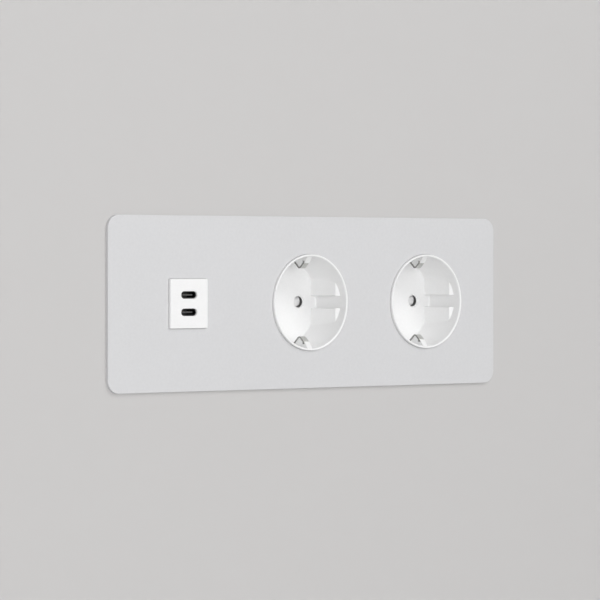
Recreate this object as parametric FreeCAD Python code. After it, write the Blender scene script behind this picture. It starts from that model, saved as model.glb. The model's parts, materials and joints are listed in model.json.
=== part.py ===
import FreeCAD, Part
import math
import os

from FreeCAD import Vector

# A wall plate for three flush boxes, side by side: a charging outlet with two USB-C ports on the left, and
# two earthed round socket outlets with recessed wells in the middle and on the right.
#
# Millimetres. X runs right along the plate, Z up, and Y into the wall. The origin is the centre of the middle
# box's fixing slots, on the back of its support frame, where the frame seats on the box.

# Driving dimensions: the layout, seen from the front
GANG_PITCH = 71.0
PLATE_WIDTH = 230.0
PLATE_HEIGHT = 78.5
PLATE_CORNER_R = 6.0
RIM_R = 22.0
WELL_R = 21.0
BASE_R = 19.8
PIN_PITCH = 19.0
PIN_HOLE_R = 2.6
FLAT_HALF_GAP = 18.9
BASE_FLAT_HALF_GAP = 16.6
CHANNEL_WIDTH = 5.7
EARTH_CLIP_GAP = 30.6
USB_FACE_WIDTH = 21.0
USB_FACE_HEIGHT = 22.0
PORT_PITCH = 7.7
PORT_WIDTH = 9.0
PORT_HEIGHT = 3.3
FIXING_PITCH = 60.0
FIXING_SLOT_LENGTH = 5.5
FIXING_SLOT_R = 1.75

# Driving dimensions: depths
DISH_DEPTH = 2.4
PLATE_DEPTH = 1.6
PLATE_SKIN = 0.7
RIM_PROUD = 1.2
USB_PROUD = 1.3
WELL_DEPTH = 20.5
LEDGE_DEPTH = 5.5
EARTH_CLIP_DEPTH = 7.0
BASE_THICKNESS = 2.0
SOCKET_HOUSING_BACK = 38.0
USB_HOUSING_BACK = 31.0
SHEET = 0.8

# Driving dimensions: motion
RELEASE_TRAVEL = 1.5

# Levels along Y, worked out from the depths
WALL = -DISH_DEPTH
PLATE_FRONT = WALL - PLATE_DEPTH
POCKET = PLATE_FRONT + PLATE_SKIN
SHOULDER = POCKET + 0.1
RIM_FRONT = PLATE_FRONT - RIM_PROUD
USB_FRONT = PLATE_FRONT - USB_PROUD
LEDGE = RIM_FRONT + LEDGE_DEPTH
EARTH_CLIP_APEX = RIM_FRONT + EARTH_CLIP_DEPTH
BASE = RIM_FRONT + WELL_DEPTH
BASE_BACK = BASE + BASE_THICKNESS
SHUTTER_FRONT = BASE_BACK + 0.3
SHUTTER_BACK = SHUTTER_FRONT + 2.0
COVER_FRONT = SHUTTER_BACK + 2.8
COVER_BACK = COVER_FRONT + 1.2
STRAP_LEVEL = COVER_BACK + 0.4

# Centres along X
USB_X = -GANG_PITCH
SOCKETS = {"socket_one": 0.0, "socket_two": GANG_PITCH}
PIN_X = PIN_PITCH / 2

# Round sizes that the inserts, frames and housings share
INSERT_R = 22.9
FRAME_HOLE_R = 23.4
HOUSING_R = 24.6
HOUSING_INNER_R = 23.1
DISH_R = 34.2
POST_R = 1.5
POST_CLEARANCE = 0.05

# The frame, its lugs and its claws
FRAME_SIDE = GANG_PITCH - 0.4
FRAME_CORNER_R = 5.0
LUG_X = 24.9
LUG_SCREW_Y = 6.0
CLAW_PIVOT = Vector(25.9, 3.0, -10.0)
CLAW_HALF_WIDTH = 3.5
CLAW_SLOT_HALF = 1.75
CLAW_SCREW_X = 29.0
TRUNNION_R = 0.8
TRUNNION_CLEARANCE = 0.07
EAR_GAP = 0.15

# The plate's spring clips, and the windows in the frames that they snap into
PLATE_CLIP_X = 13.0
PLATE_CLIP_Z = 25.6
PLATE_CLIP_WIDTH = 8.0
PLATE_CLIP_SHEET = 0.35
CLIP_WINDOW_HALF_WIDTH = PLATE_CLIP_WIDTH / 2 + 0.4
CLIP_WINDOW_HALF_HEIGHT = 2.15

# The earth strap, and the horns of the well that its clips lie on
STRAP_WIDTH = 3.0
STRAP_THICKNESS = 0.8
STRAP_BEND_R = 1.1
STRAP_OUT = 22.95
CLIP_SLOPE = math.radians(41)
CLIP_MOUTH_Z = 17.9
CLIP_TAIL = 1.1
CLIP_POCKET_DEPTH = 1.3
HORN_HALF_WIDTH = 1.4
HORN_GAP = 0.15

# The snap hooks of the inserts, and their windows in the housings
HOOK_FRONT = 9.0
HOOK_BACK = 13.0
HOOK_HALF_WIDTH = 2.5
HOOK_REACH = 1.0

# The rear housings and the release keys
HOUSING_FRONT = 0.2
HOUSING_WALL = 2.0
RELEASE_X = 16.0
RELEASE_WIDTH = 5.0
RELEASE_HEIGHT = 7.0

# The boards of the charging outlet and the parts on them
BOARD_THICKNESS = 1.6
FRONT_BOARD = 6.4
FRONT_BOARD_BACK = FRONT_BOARD + BOARD_THICKNESS
MAIN_BOARD = 15.0
MAIN_BOARD_BACK = MAIN_BOARD + BOARD_THICKNESS
TERMINAL_XS = (-4.0, 4.0)
TERMINAL_SCREW_Z = -9.4
TERMINAL_WIRE_Z = -14.2

UP_Y = Vector(0, 1, 0)
RIGHT_X = Vector(1, 0, 0)
UP_Z = Vector(0, 0, 1)
CENTRE = Vector(0, 0, 0)


def block(x0, x1, y0, y1, z0, z1):
    """A box between two corners."""
    return Part.makeBox(x1 - x0, y1 - y0, z1 - z0, Vector(x0, y0, z0))


def rod(radius, y0, y1, x=0.0, z=0.0):
    """A round bar along Y."""
    return Part.makeCylinder(radius, y1 - y0, Vector(x, y0, z), UP_Y)


def tube(outer, inner, y0, y1):
    """A round tube along Y, about the Y axis."""
    return rod(outer, y0, y1).cut(rod(inner, y0 - 1, y1 + 1))


def taper(radius_a, radius_b, y0, y1, x=0.0, z=0.0):
    """A cone along Y, from one radius to another."""
    return Part.makeCone(radius_a, radius_b, y1 - y0, Vector(x, y0, z), UP_Y)


def slab(width, height, corner, y0, y1, x=0.0, z=0.0):
    """A rounded rectangle in the plane of the plate, with a depth along Y."""
    body = block(x - width / 2, x + width / 2, y0, y1, z - height / 2, z + height / 2)
    edges = [e for e in body.Edges if abs(e.Vertexes[0].Y - e.Vertexes[-1].Y) > (y1 - y0) / 2]
    return body.makeFillet(corner, edges)


def polygon_prism(points, push):
    """A closed outline of straight sides, pushed along a vector."""
    wire = Part.makePolygon(points + points[:1])
    return Part.Face(wire).extrude(push)


def bent_line(points, bend_r):
    """An open line with a round bend at each inner point."""
    edges = []
    start = points[0]
    for before, corner, after in zip(points, points[1:], points[2:]):
        back = (before - corner).normalize()
        ahead = (after - corner).normalize()
        half = back.getAngle(ahead) / 2
        reach = bend_r / math.tan(half)
        middle = corner + (back + ahead).normalize() * (bend_r / math.sin(half) - bend_r)
        bend_start = corner + back * reach
        bend_end = corner + ahead * reach
        edges.append(Part.LineSegment(start, bend_start).toShape())
        edges.append(Part.Arc(bend_start, middle, bend_end).toShape())
        start = bend_end
    edges.append(Part.LineSegment(start, points[-1]).toShape())
    return Part.Wire(edges)


def folded_strip(points, bend_r, thickness, push):
    """A bent sheet: an open line with round bends, thickened to one side and pushed along a vector."""
    face = bent_line(points, bend_r).makeOffset2D(thickness, 0, True, True)
    return face.extrude(push)


def mirror_x(shape):
    """The shape on the other side of the upright middle plane."""
    return shape.mirror(CENTRE, RIGHT_X)


def mirror_z(shape):
    """The shape on the other side of the level middle plane."""
    return shape.mirror(CENTRE, UP_Z)


def both_sides(shape):
    """The shape and its mirror image on the left."""
    return [shape, mirror_x(shape)]


def top_and_bottom(shape):
    """The shape and its mirror image below."""
    return [shape, mirror_z(shape)]


def fuse(first, *rest):
    """One solid out of several that touch, with its seams removed."""
    for shape in rest:
        first = first.fuse(shape)
    return first.removeSplitter()


def cut_all(body, tools):
    """The body with every tool cut out of it."""
    for tool in tools:
        body = body.cut(tool)
    return body


def moved(shape, x):
    """A copy of the shape, shifted along X."""
    copy = shape.copy()
    copy.translate(Vector(x, 0, 0))
    return copy


def edges_at(shape, y, maximum=math.inf):
    """The edges that lie in one plane across Y, no further than a distance from the Y axis."""
    found = []
    for edge in shape.Edges:
        points = edge.discretize(5)
        if all(abs(p.y - y) < 1e-4 and math.hypot(p.x, p.z) < maximum for p in points):
            found.append(edge)
    return found


def front_plate():
    """A thin pan with a full-depth border, two round holes and one square one."""
    border = 1.2
    hole_gap = 0.15
    plate = slab(PLATE_WIDTH, PLATE_HEIGHT, PLATE_CORNER_R, PLATE_FRONT, WALL)
    plate = plate.makeFillet(0.3, edges_at(plate, PLATE_FRONT))
    inner_corner = PLATE_CORNER_R - border
    pocket = slab(PLATE_WIDTH - 2 * border, PLATE_HEIGHT - 2 * border, inner_corner, POCKET, WALL + 1)
    holes = [rod(RIM_R + hole_gap, PLATE_FRONT - 1, WALL, x) for x in SOCKETS.values()]
    width, height = USB_FACE_WIDTH + 2 * hole_gap, USB_FACE_HEIGHT + 2 * hole_gap
    window = slab(width, height, 0.65, PLATE_FRONT - 1, WALL, USB_X)
    return cut_all(plate, [pocket, window, *holes])


def plate_clips():
    """Six spring clips on the back of the plate, two to each support frame."""
    neck = 1.95
    belly = 2.3
    leg = [Vector(0, 3.2, 1.3), Vector(0, 1.4, belly), Vector(0, 0.15, neck), Vector(0, POCKET, neck)]
    line = [Vector(0, p.y, -p.z) for p in leg] + leg[::-1]
    clip = folded_strip(line, 0.5, PLATE_CLIP_SHEET, Vector(PLATE_CLIP_WIDTH, 0, 0))
    clips = []
    for x in [USB_X, *SOCKETS.values()]:
        for side in (1, -1):
            copy = clip.copy()
            copy.translate(Vector(x + side * PLATE_CLIP_X - PLATE_CLIP_WIDTH / 2, 0, side * PLATE_CLIP_Z))
            clips.append(copy)
    return Part.makeCompound(clips)


def fixing_slots():
    """Four slots on the screw circle of a flush box, which run out from the middle."""
    reach = FIXING_SLOT_LENGTH / 2 - FIXING_SLOT_R
    near, far = FIXING_PITCH / 2 - reach, FIXING_PITCH / 2 + reach
    ends = [rod(FIXING_SLOT_R, -2, 1, near), rod(FIXING_SLOT_R, -2, 1, far)]
    slot = fuse(block(near, far, -2, 1, -FIXING_SLOT_R, FIXING_SLOT_R), *ends)
    slots = []
    for quarter in range(4):
        turned = slot.copy()
        turned.rotate(CENTRE, UP_Y, 90 * quarter)
        slots.append(turned)
    return slots


def clip_windows():
    """The two windows in a frame that the plate's clips snap into."""
    windows = []
    for side in (1, -1):
        x, z = side * PLATE_CLIP_X, side * PLATE_CLIP_Z
        x0, x1 = x - CLIP_WINDOW_HALF_WIDTH, x + CLIP_WINDOW_HALF_WIDTH
        windows.append(block(x0, x1, -2, 1, z - CLIP_WINDOW_HALF_HEIGHT, z + CLIP_WINDOW_HALF_HEIGHT))
    return windows


def side_lug():
    """A lug bent back from the frame's floor, with a hole for the screw into the housing."""
    lug = block(LUG_X, LUG_X + SHEET, -SHEET, LUG_SCREW_Y + 3, -4, 4)
    corners = [e for e in lug.Edges if all(v.Y > LUG_SCREW_Y for v in e.Vertexes) and e.Length < 2 * SHEET]
    lug = lug.makeFillet(2.0, corners)
    hole = Part.makeCylinder(1.6, 4, Vector(LUG_X - 1, LUG_SCREW_Y, 0), RIGHT_X)
    return lug.cut(hole)


def claw_ears():
    """Two ears bent back from the frame's floor, which hold a claw's trunnions."""
    pivot = CLAW_PIVOT
    nose_r = 1.3
    inner = CLAW_HALF_WIDTH + EAR_GAP
    ears = []
    for z0 in (pivot.z + inner, pivot.z - inner - SHEET):
        ear = block(pivot.x - nose_r, pivot.x + 1.9, -SHEET, pivot.y, z0, z0 + SHEET)
        nose = Part.makeCylinder(nose_r, SHEET, Vector(pivot.x, pivot.y, z0))
        hole_r = TRUNNION_R + TRUNNION_CLEARANCE
        hole = Part.makeCylinder(hole_r, SHEET + 2, Vector(pivot.x, pivot.y, z0 - 1))
        ears.append(ear.fuse(nose).cut(hole))
    return ears


def support_frame():
    """A drawn steel frame: a square flange on the wall, a round dish, and lugs and ears bent back."""
    flange = slab(FRAME_SIDE, FRAME_SIDE, FRAME_CORNER_R, WALL - SHEET, WALL)
    flange = flange.cut(rod(DISH_R - SHEET, WALL - SHEET - 1, 1))
    side_wall = tube(DISH_R, DISH_R - SHEET, WALL - SHEET, 0)
    floor = tube(DISH_R, FRAME_HOLE_R, -SHEET, 0)
    frame = flange.fuse(side_wall).fuse(floor)
    screw_hole = rod(1.7, -2, 1, CLAW_SCREW_X, CLAW_PIVOT.z)
    frame = cut_all(frame, fixing_slots() + clip_windows() + both_sides(screw_hole))
    for piece in [side_lug(), *claw_ears()]:
        for turned in both_sides(piece):
            frame = frame.fuse(turned)
    return frame.removeSplitter()


def claw():
    """A toothed steel claw on the right side: two arms, a hinge barrel with trunnions and a toothed end."""
    pivot = CLAW_PIVOT
    end = 18.2
    half_sheet = 0.5
    outline = [
        Vector(pivot.x - half_sheet, pivot.y, 0),
        Vector(pivot.x - half_sheet, 14.5, 0),
        Vector(pivot.x + 2.7, end, 0),
        Vector(pivot.x + 3.4, end - 0.7, 0),
        Vector(pivot.x + 1.6, 15.2, 0),
        Vector(pivot.x + half_sheet, 13.8, 0),
        Vector(pivot.x + half_sheet, pivot.y, 0),
    ]
    low, high = pivot.z - CLAW_HALF_WIDTH, pivot.z + CLAW_HALF_WIDTH
    blade = polygon_prism([p + Vector(0, 0, low) for p in outline], Vector(0, 0, high - low))
    barrel = Part.makeCylinder(1.15, high - low, Vector(pivot.x, pivot.y, low))
    trunnion_half = CLAW_HALF_WIDTH + EAR_GAP + SHEET
    trunnion_end = Vector(pivot.x, pivot.y, pivot.z - trunnion_half)
    trunnions = Part.makeCylinder(TRUNNION_R, 2 * trunnion_half, trunnion_end)
    flanges = block(pivot.x, pivot.x + 4.9, 9.0, 10.2, low, high)
    body = fuse(blade, barrel, flanges, trunnions)
    slot_low, slot_high = pivot.z - CLAW_SLOT_HALF, pivot.z + CLAW_SLOT_HALF
    body = body.cut(block(pivot.x - 3, pivot.x + 8, 5.2, 14.3, slot_low, slot_high))
    tooth_pitch = 2.4
    notch_half = 0.7
    for z in (pivot.z - tooth_pitch, pivot.z, pivot.z + tooth_pitch):
        mouth = [Vector(pivot.x + 4.4, 15.4, z - notch_half), Vector(pivot.x + 4.4, 15.4, z + notch_half)]
        notch = mouth + [Vector(pivot.x + 2.2, 15.4, z)]
        body = body.cut(polygon_prism(notch, Vector(0, 4, 0)))
    return body


def pan_head_screw(head_r, head_height, shank_r, length, slot_width):
    """A slotted screw that points along Y from its head's underside at the origin."""
    head = rod(head_r, -head_height, 0)
    head = head.makeChamfer(head_height * 0.35, edges_at(head, -head_height))
    half_slot = slot_width / 2
    slot = block(-head_r - 1, head_r + 1, -head_height - 1, -head_height / 2, -half_slot, half_slot)
    tip = min(0.4, shank_r * 0.3)
    shank = rod(shank_r, 0, length - tip).fuse(taper(shank_r, shank_r - tip, length - tip, length))
    return fuse(head.cut(slot), shank)


def claw_screws():
    """The two long screws that draw the claws out."""
    screw = pan_head_screw(2.5, 1.5, 1.4, 13.4, 0.7)
    screw.translate(Vector(CLAW_SCREW_X, -SHEET, CLAW_PIVOT.z))
    return Part.makeCompound(both_sides(screw))


def frame_screws():
    """The two short screws through the frame's lugs into the housing's sides."""
    screw = pan_head_screw(2.0, 1.1, 1.2, 2.4, 0.6)
    screw.rotate(CENTRE, UP_Z, 90)
    screw.translate(Vector(LUG_X + SHEET, LUG_SCREW_Y, 0))
    return Part.makeCompound(both_sides(screw))


def cheek():
    """One of the four cheeks that narrow the well: a flat with a draft, under a sloping ledge."""
    outside = WELL_R + 1
    end = BASE + 1
    ledge_slope = 0.65
    draft = (FLAT_HALF_GAP - BASE_FLAT_HALF_GAP) / (BASE - LEDGE)
    low = CHANNEL_WIDTH / 2
    side = [
        Vector(FLAT_HALF_GAP, LEDGE, low),
        Vector(outside, LEDGE - (outside - FLAT_HALF_GAP) * ledge_slope, low),
        Vector(outside, end, low),
        Vector(BASE_FLAT_HALF_GAP - draft, end, low),
    ]
    return polygon_prism(side, Vector(0, 0, outside))


def well_cavity():
    """What the plug enters: a round mouth that narrows to the base, and two flats with a guide channel in each."""
    lower = taper(WELL_R, BASE_R, LEDGE, BASE)
    lower = lower.makeChamfer(0.6, edges_at(lower, BASE))
    cavity = rod(WELL_R, RIM_FRONT - 1, LEDGE).fuse(lower)
    for side in both_sides(cheek()):
        cavity = cut_all(cavity, top_and_bottom(side))
    return cavity


def clip_line():
    """The top clip from its front end round its apex to the insert's outside: its face towards the axis."""
    drop = STRAP_BEND_R / math.cos(CLIP_SLOPE) - STRAP_BEND_R
    corner_z = EARTH_CLIP_GAP / 2 - drop
    mouth_y = EARTH_CLIP_APEX - (CLIP_MOUTH_Z - corner_z) / math.tan(CLIP_SLOPE)
    knee_y = EARTH_CLIP_APEX + (STRAP_OUT - corner_z) / math.tan(CLIP_SLOPE)
    return [
        Vector(0, mouth_y, CLIP_MOUTH_Z + CLIP_TAIL),
        Vector(0, mouth_y, CLIP_MOUTH_Z),
        Vector(0, EARTH_CLIP_APEX, corner_z),
        Vector(0, knee_y, STRAP_OUT),
    ]


def clip_horn():
    """The horn at the top of the well that the earth clip lies on."""
    mouth, corner = clip_line()[1:3]
    root = WELL_R + 0.5
    inset = STRAP_THICKNESS + HORN_GAP
    shift = inset / math.sin(CLIP_SLOPE)
    rear = corner.y + (root - corner.z) / math.tan(CLIP_SLOPE) - shift
    side = [
        Vector(0, RIM_FRONT + 0.9, root),
        mouth - Vector(0, HORN_GAP, 0),
        mouth + Vector(0, shift, 0),
        corner + Vector(0, 0, inset / math.cos(CLIP_SLOPE)),
        Vector(0, rear, root),
    ]
    left = Vector(-HORN_HALF_WIDTH, 0, 0)
    return polygon_prism([point + left for point in side], left * -2)


def clip_slots():
    """The pocket for the clip's front end, and the slot in the wall that its rear arm goes through."""
    mouth, corner = clip_line()[1:3]
    half = STRAP_WIDTH / 2 + HORN_GAP
    pocket_back = mouth.y + CLIP_POCKET_DEPTH
    pocket_top = mouth.z + CLIP_TAIL + HORN_GAP
    pocket = block(-half, half, mouth.y - HORN_GAP, pocket_back, mouth.z - 1, pocket_top)
    run = Vector(0, math.cos(CLIP_SLOPE), math.sin(CLIP_SLOPE))
    across = Vector(0, -run.z, run.y)
    margin = 0.2
    start = corner + Vector(-half, 0, 0) + run * 5
    end = start + run * 9
    near, far = across * -margin, across * (STRAP_THICKNESS + margin)
    slot = polygon_prism([start + near, end + near, end + far, start + far], Vector(2 * half, 0, 0))
    return [*top_and_bottom(pocket), *top_and_bottom(slot)]


def snap_hook():
    """A wedge on the insert's side that snaps into the housing's window."""
    root = INSERT_R - 1
    low = -HOOK_HALF_WIDTH
    tip = Vector(INSERT_R + HOOK_REACH, HOOK_FRONT, low)
    side = [Vector(root, HOOK_FRONT, low), tip, Vector(root, HOOK_BACK, low)]
    return polygon_prism(side, Vector(0, 0, 2 * HOOK_HALF_WIDTH))


def well():
    """The white socket insert: rim, well, base with pin holes, and the post that the shutter turns on."""
    rim = rod(RIM_R, RIM_FRONT, SHOULDER)
    rim = rim.makeChamfer(0.2, edges_at(rim, RIM_FRONT))
    skirt = rod(INSERT_R, SHOULDER, BASE_BACK)
    skirt = skirt.makeChamfer(0.8, edges_at(skirt, BASE_BACK))
    body = rim.fuse(skirt).cut(well_cavity())
    body = body.makeChamfer(0.6, edges_at(body, RIM_FRONT, WELL_R + 0.05))
    for horn in top_and_bottom(clip_horn()):
        body = body.fuse(horn)
    body = cut_all(body, clip_slots())
    mouth = 0.5
    for x in (-PIN_X, PIN_X):
        body = body.cut(rod(PIN_HOLE_R, BASE - 1, BASE_BACK + 1, x))
        body = body.cut(taper(PIN_HOLE_R + mouth, PIN_HOLE_R, BASE, BASE + mouth, x))
    post = rod(POST_R, BASE_BACK - 0.5, COVER_BACK + 0.1)
    return fuse(body, post, *both_sides(snap_hook()))


def shutter():
    """A two-lobed rotor behind the base, with a ramp on each lobe that the pins push on."""
    lobe_r = 3.6
    body = rod(3.4, SHUTTER_FRONT, SHUTTER_BACK)
    body = body.fuse(block(-PIN_X, PIN_X, SHUTTER_FRONT, SHUTTER_BACK, -2.2, 2.2))
    for x in (-PIN_X, PIN_X):
        body = body.fuse(rod(lobe_r, SHUTTER_FRONT, SHUTTER_BACK, x))
    ramp_front = SHUTTER_FRONT - 0.1
    for side in (-1, 1):
        x = side * (PIN_X - 4)
        edge = side * (lobe_r + 0.1)
        inner = edge - side * 2.7
        ramp = [Vector(x, ramp_front, edge), Vector(x, ramp_front, inner), Vector(x, ramp_front + 1.3, edge)]
        body = body.cut(polygon_prism(ramp, Vector(side * 8, 0, 0)))
    catch = rod(0.5, SHUTTER_BACK - 0.3, SHUTTER_BACK + 1.3, 4.2)
    bore = rod(POST_R + POST_CLEARANCE, SHUTTER_FRONT - 1, SHUTTER_BACK + 2)
    return fuse(body, catch).cut(bore)


def shutter_spring():
    """A small torsion spring on the post, between the shutter and its cover."""
    wire_r = 0.22
    wire_sides = 6
    mean_r = 2.3
    pitch = 0.6
    turns = 3
    start = SHUTTER_BACK + 0.4
    section = []
    for side in range(wire_sides + 1):
        angle = 2 * math.pi * side / wire_sides
        section.append(Vector(mean_r + wire_r * math.cos(angle), 0, wire_r * math.sin(angle)))
    coil = Part.Wire(Part.makeHelix(pitch, pitch * turns, mean_r))
    spring = coil.makePipeShell([Part.makePolygon(section)], True, True)
    spring.rotate(CENTRE, RIGHT_X, -90)
    spring.translate(Vector(0, start, 0))
    tail = Part.makeCylinder(wire_r, 5.2, Vector(mean_r, start, 0), UP_Z)
    return spring.fuse(tail)


def shutter_cover():
    """The disc that closes the shutter's chamber, with a way through for each pin."""
    outer = 20.4
    disc = rod(outer, COVER_FRONT, COVER_BACK)
    disc = disc.fuse(tube(outer, outer - 1.2, BASE_BACK + 0.05, COVER_FRONT))
    pin_ways = both_sides(rod(PIN_HOLE_R + 0.5, COVER_FRONT - 1, COVER_BACK + 1, PIN_X))
    peg_holes = top_and_bottom(rod(1.3, COVER_FRONT - 1, COVER_BACK + 1, 0, 14.0))
    post_hole = rod(POST_R + POST_CLEARANCE, COVER_FRONT - 1, COVER_BACK + 1)
    return cut_all(disc, [*pin_ways, *peg_holes, post_hole]).removeSplitter()


def earth_strap():
    """One bent strip: an earth clip at the top and the bottom of the well, joined behind the base."""
    x0 = -STRAP_WIDTH / 2
    half = [point + Vector(x0, 0, 0) for point in [*clip_line(), Vector(0, STRAP_LEVEL, STRAP_OUT)]]
    line = half + [Vector(p.x, p.y, -p.z) for p in half[::-1]]
    strap = folded_strip(line, STRAP_BEND_R, -STRAP_THICKNESS, Vector(STRAP_WIDTH, 0, 0))
    tab = block(x0, -x0, STRAP_LEVEL, STRAP_LEVEL + 8, -14.8, -14.0)
    return fuse(strap, tab)


def pin_contact():
    """The right-hand sprung brass contact: two leaves that grip a pin, a web and a tail to its terminal."""
    start = STRAP_LEVEL + 0.4
    end = 35.6
    leaf_half = 2.2
    sheet = 0.7
    tail_level = start + 4.5
    x0, x1 = PIN_X - leaf_half, PIN_X + leaf_half
    line = [
        Vector(x0, start, 3.7),
        Vector(x0, start + 2.0, 2.4),
        Vector(x0, start + 6.5, 2.15),
        Vector(x0, end - 1.0, 2.9),
        Vector(x0, end, 2.9),
    ]
    leaf = folded_strip(line, 1.5, -sheet, Vector(x1 - x0 + 0.1, 0, 0))
    web = block(x1, x1 + sheet, tail_level, end, -3.6, 3.6)
    tail = block(x1, x1 + 8.0, tail_level, tail_level + sheet, -3.6, 3.6)
    lip = block(x1 + 8.0 - sheet, x1 + 8.0, tail_level, tail_level + 3.0, -3.6, 3.6)
    return fuse(leaf, mirror_z(leaf), web, tail, lip)


def terminal_springs():
    """The bent clamp springs of the two live terminals."""
    base = STRAP_LEVEL + 6.0
    height = 1.0
    low = -2.6
    line = [
        Vector(12.9, base + 0.9, low),
        Vector(13.9, base, low),
        Vector(18.6, base, low),
        Vector(18.6, base + height, low),
        Vector(14.6, base + height, low),
    ]
    spring = folded_strip(line, 0.45, -0.3, Vector(0, 0, -2 * low))
    return Part.makeCompound(both_sides(spring))


def release_key():
    """The right-hand key that opens a terminal: it stands out of the housing's back and is pressed in."""
    floor = SOCKET_HOUSING_BACK - HOUSING_WALL
    tip = SOCKET_HOUSING_BACK + RELEASE_TRAVEL
    collar = 1.4
    stem = slab(RELEASE_WIDTH, RELEASE_HEIGHT, 0.6, floor - 3.2, tip, RELEASE_X)
    stem = stem.makeChamfer(0.4, edges_at(stem, tip))
    flange = slab(RELEASE_WIDTH + collar, RELEASE_HEIGHT + collar, 0.6, floor - 1.7, floor - 0.1, RELEASE_X)
    groove = block(RELEASE_X - 1.7, RELEASE_X + 1.7, tip - 0.5, tip + 1, -0.5, 0.5)
    return fuse(stem, flange).cut(groove)


def housing_shell(back):
    """The round cup behind a frame, with windows for the insert's hooks and holes for the frame's screws."""
    shell = rod(HOUSING_R, HOUSING_FRONT, back)
    shell = shell.makeChamfer(1.6, edges_at(shell, back))
    shell = shell.cut(rod(HOUSING_INNER_R, HOUSING_FRONT - 1, back - HOUSING_WALL))
    half = HOOK_HALF_WIDTH + 0.3
    window = block(HOUSING_INNER_R - 2, HOUSING_R + 1, HOOK_FRONT - 0.1, HOOK_BACK + 0.4, -half, half)
    screw_hole = Part.makeCylinder(1.25, 4, Vector(HOUSING_INNER_R - 2, LUG_SCREW_Y, 0), RIGHT_X)
    return cut_all(shell, both_sides(window) + both_sides(screw_hole))


def rib(x0, x1, y0, z0, z1):
    """A rib on a socket housing's floor, trimmed to its round wall."""
    wall_r = HOUSING_INNER_R + 0.5
    back = SOCKET_HOUSING_BACK - HOUSING_WALL + 0.5
    return block(x0, x1, y0, back, z0, z1).common(rod(wall_r, y0, back))


def socket_housing():
    """The rear housing of a socket: strap channels, chamber walls, key windows and wire entries."""
    back = SOCKET_HOUSING_BACK
    floor = back - HOUSING_WALL
    strap_end = STRAP_LEVEL + 1.2
    wall_r = HOUSING_INNER_R + 0.5
    half = STRAP_WIDTH / 2 + 0.4
    channel = block(-half, half, HOUSING_FRONT - 1, strap_end, HOUSING_INNER_R - 2, 24.0)
    body = cut_all(housing_shell(back), top_and_bottom(channel))
    middle_wall = rib(4.6, 6.0, strap_end, -wall_r, wall_r)
    contact_wall = rib(5.5, wall_r, strap_end + 3.0, 6.2, 7.4)
    for wall in [middle_wall, *top_and_bottom(contact_wall)]:
        for turned in both_sides(wall):
            body = body.fuse(turned)
    key_window = slab(RELEASE_WIDTH + 0.2, RELEASE_HEIGHT + 0.2, 0.7, floor - 0.5, back + 1, RELEASE_X)
    wire_r = 1.5
    wire_entry = rod(wire_r, floor - 1, back + 1, 12.4, 11.4)
    earth_entry = rod(wire_r, floor - 1, back + 1, 2.4, -17.4)
    tools = both_sides(key_window) + both_sides(earth_entry)
    for entry in top_and_bottom(wire_entry):
        tools += both_sides(entry)
    return cut_all(body, tools).removeSplitter()


def usb_bezel():
    """The white front of the charging outlet: a square face with two ports on a round snap-in body."""
    wall = 1.5
    drum_back = 14.0
    face = slab(USB_FACE_WIDTH, USB_FACE_HEIGHT, 0.5, USB_FRONT, SHOULDER + 0.5)
    face = face.makeChamfer(0.18, edges_at(face, USB_FRONT))
    body = face.fuse(rod(INSERT_R, SHOULDER, drum_back))
    inside = rod(INSERT_R - wall, SHOULDER + wall, drum_back + 1)
    hollow_width, hollow_height = USB_FACE_WIDTH - 2 * wall, USB_FACE_HEIGHT - 2 * wall
    hollow = slab(hollow_width, hollow_height, 0.5, USB_FRONT + wall, SHOULDER + 2)
    body = cut_all(body, [inside, hollow])
    port_corner = PORT_HEIGHT / 2 - 0.01
    for z in (PORT_PITCH / 2, -PORT_PITCH / 2):
        body = body.cut(slab(PORT_WIDTH, PORT_HEIGHT, port_corner, USB_FRONT - 1, USB_FRONT + 2, 0, z))
    return fuse(body, *both_sides(snap_hook()))


def usb_port(z):
    """The folded steel shell of one USB-C receptacle."""
    wall = 0.28
    width, height = PORT_WIDTH - 0.2, PORT_HEIGHT - 0.2
    front = USB_FRONT + 0.9
    corner = height / 2 - 0.01
    outer = slab(width, height, corner, front, FRONT_BOARD, 0, z)
    inner = slab(width - 2 * wall, height - 2 * wall, corner - wall, front - 1, FRONT_BOARD + 1, 0, z)
    return outer.cut(inner)


def usb_tongue(z):
    """The moulded middle of one receptacle: a block at the back and the tongue that the plug goes over."""
    root_front = 1.6
    root = slab(8.2, 2.5, 1.2, root_front, FRONT_BOARD, 0, z)
    tongue = slab(6.7, 0.7, 0.3, USB_FRONT + 1.9, root_front + 0.4, 0, z)
    return fuse(root, tongue)


def usb_front_board():
    """The small board that carries the receptacles."""
    board = rod(20.8, FRONT_BOARD, FRONT_BOARD_BACK)
    board = board.common(block(-17, 17, FRONT_BOARD, FRONT_BOARD_BACK, -19, 19))
    hole = rod(1.3, FRONT_BOARD - 1, FRONT_BOARD_BACK + 1, 0, 16.0)
    return cut_all(board, top_and_bottom(hole))


def usb_main_board():
    """The power board behind the small one."""
    board = rod(22.6, MAIN_BOARD, MAIN_BOARD_BACK)
    board = board.common(block(-19, 19, MAIN_BOARD, MAIN_BOARD_BACK, -20, 20))
    return board.cut(block(-3, 3, MAIN_BOARD - 1, MAIN_BOARD_BACK + 1, 18.6, 21))


def usb_header():
    """The pin header that joins the two boards, moulded in one with its notches between the pins."""
    x0 = -15.4
    low = -8.0
    pin_pitch = 2.6
    body = block(x0, x0 + 4, FRONT_BOARD_BACK, MAIN_BOARD, low, -low)
    for k in range(6):
        z = low + 0.6 + pin_pitch * k
        body = body.cut(block(x0 - 1, x0 + 0.6, FRONT_BOARD, MAIN_BOARD + 1, z, z + 1.2))
    return body


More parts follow.
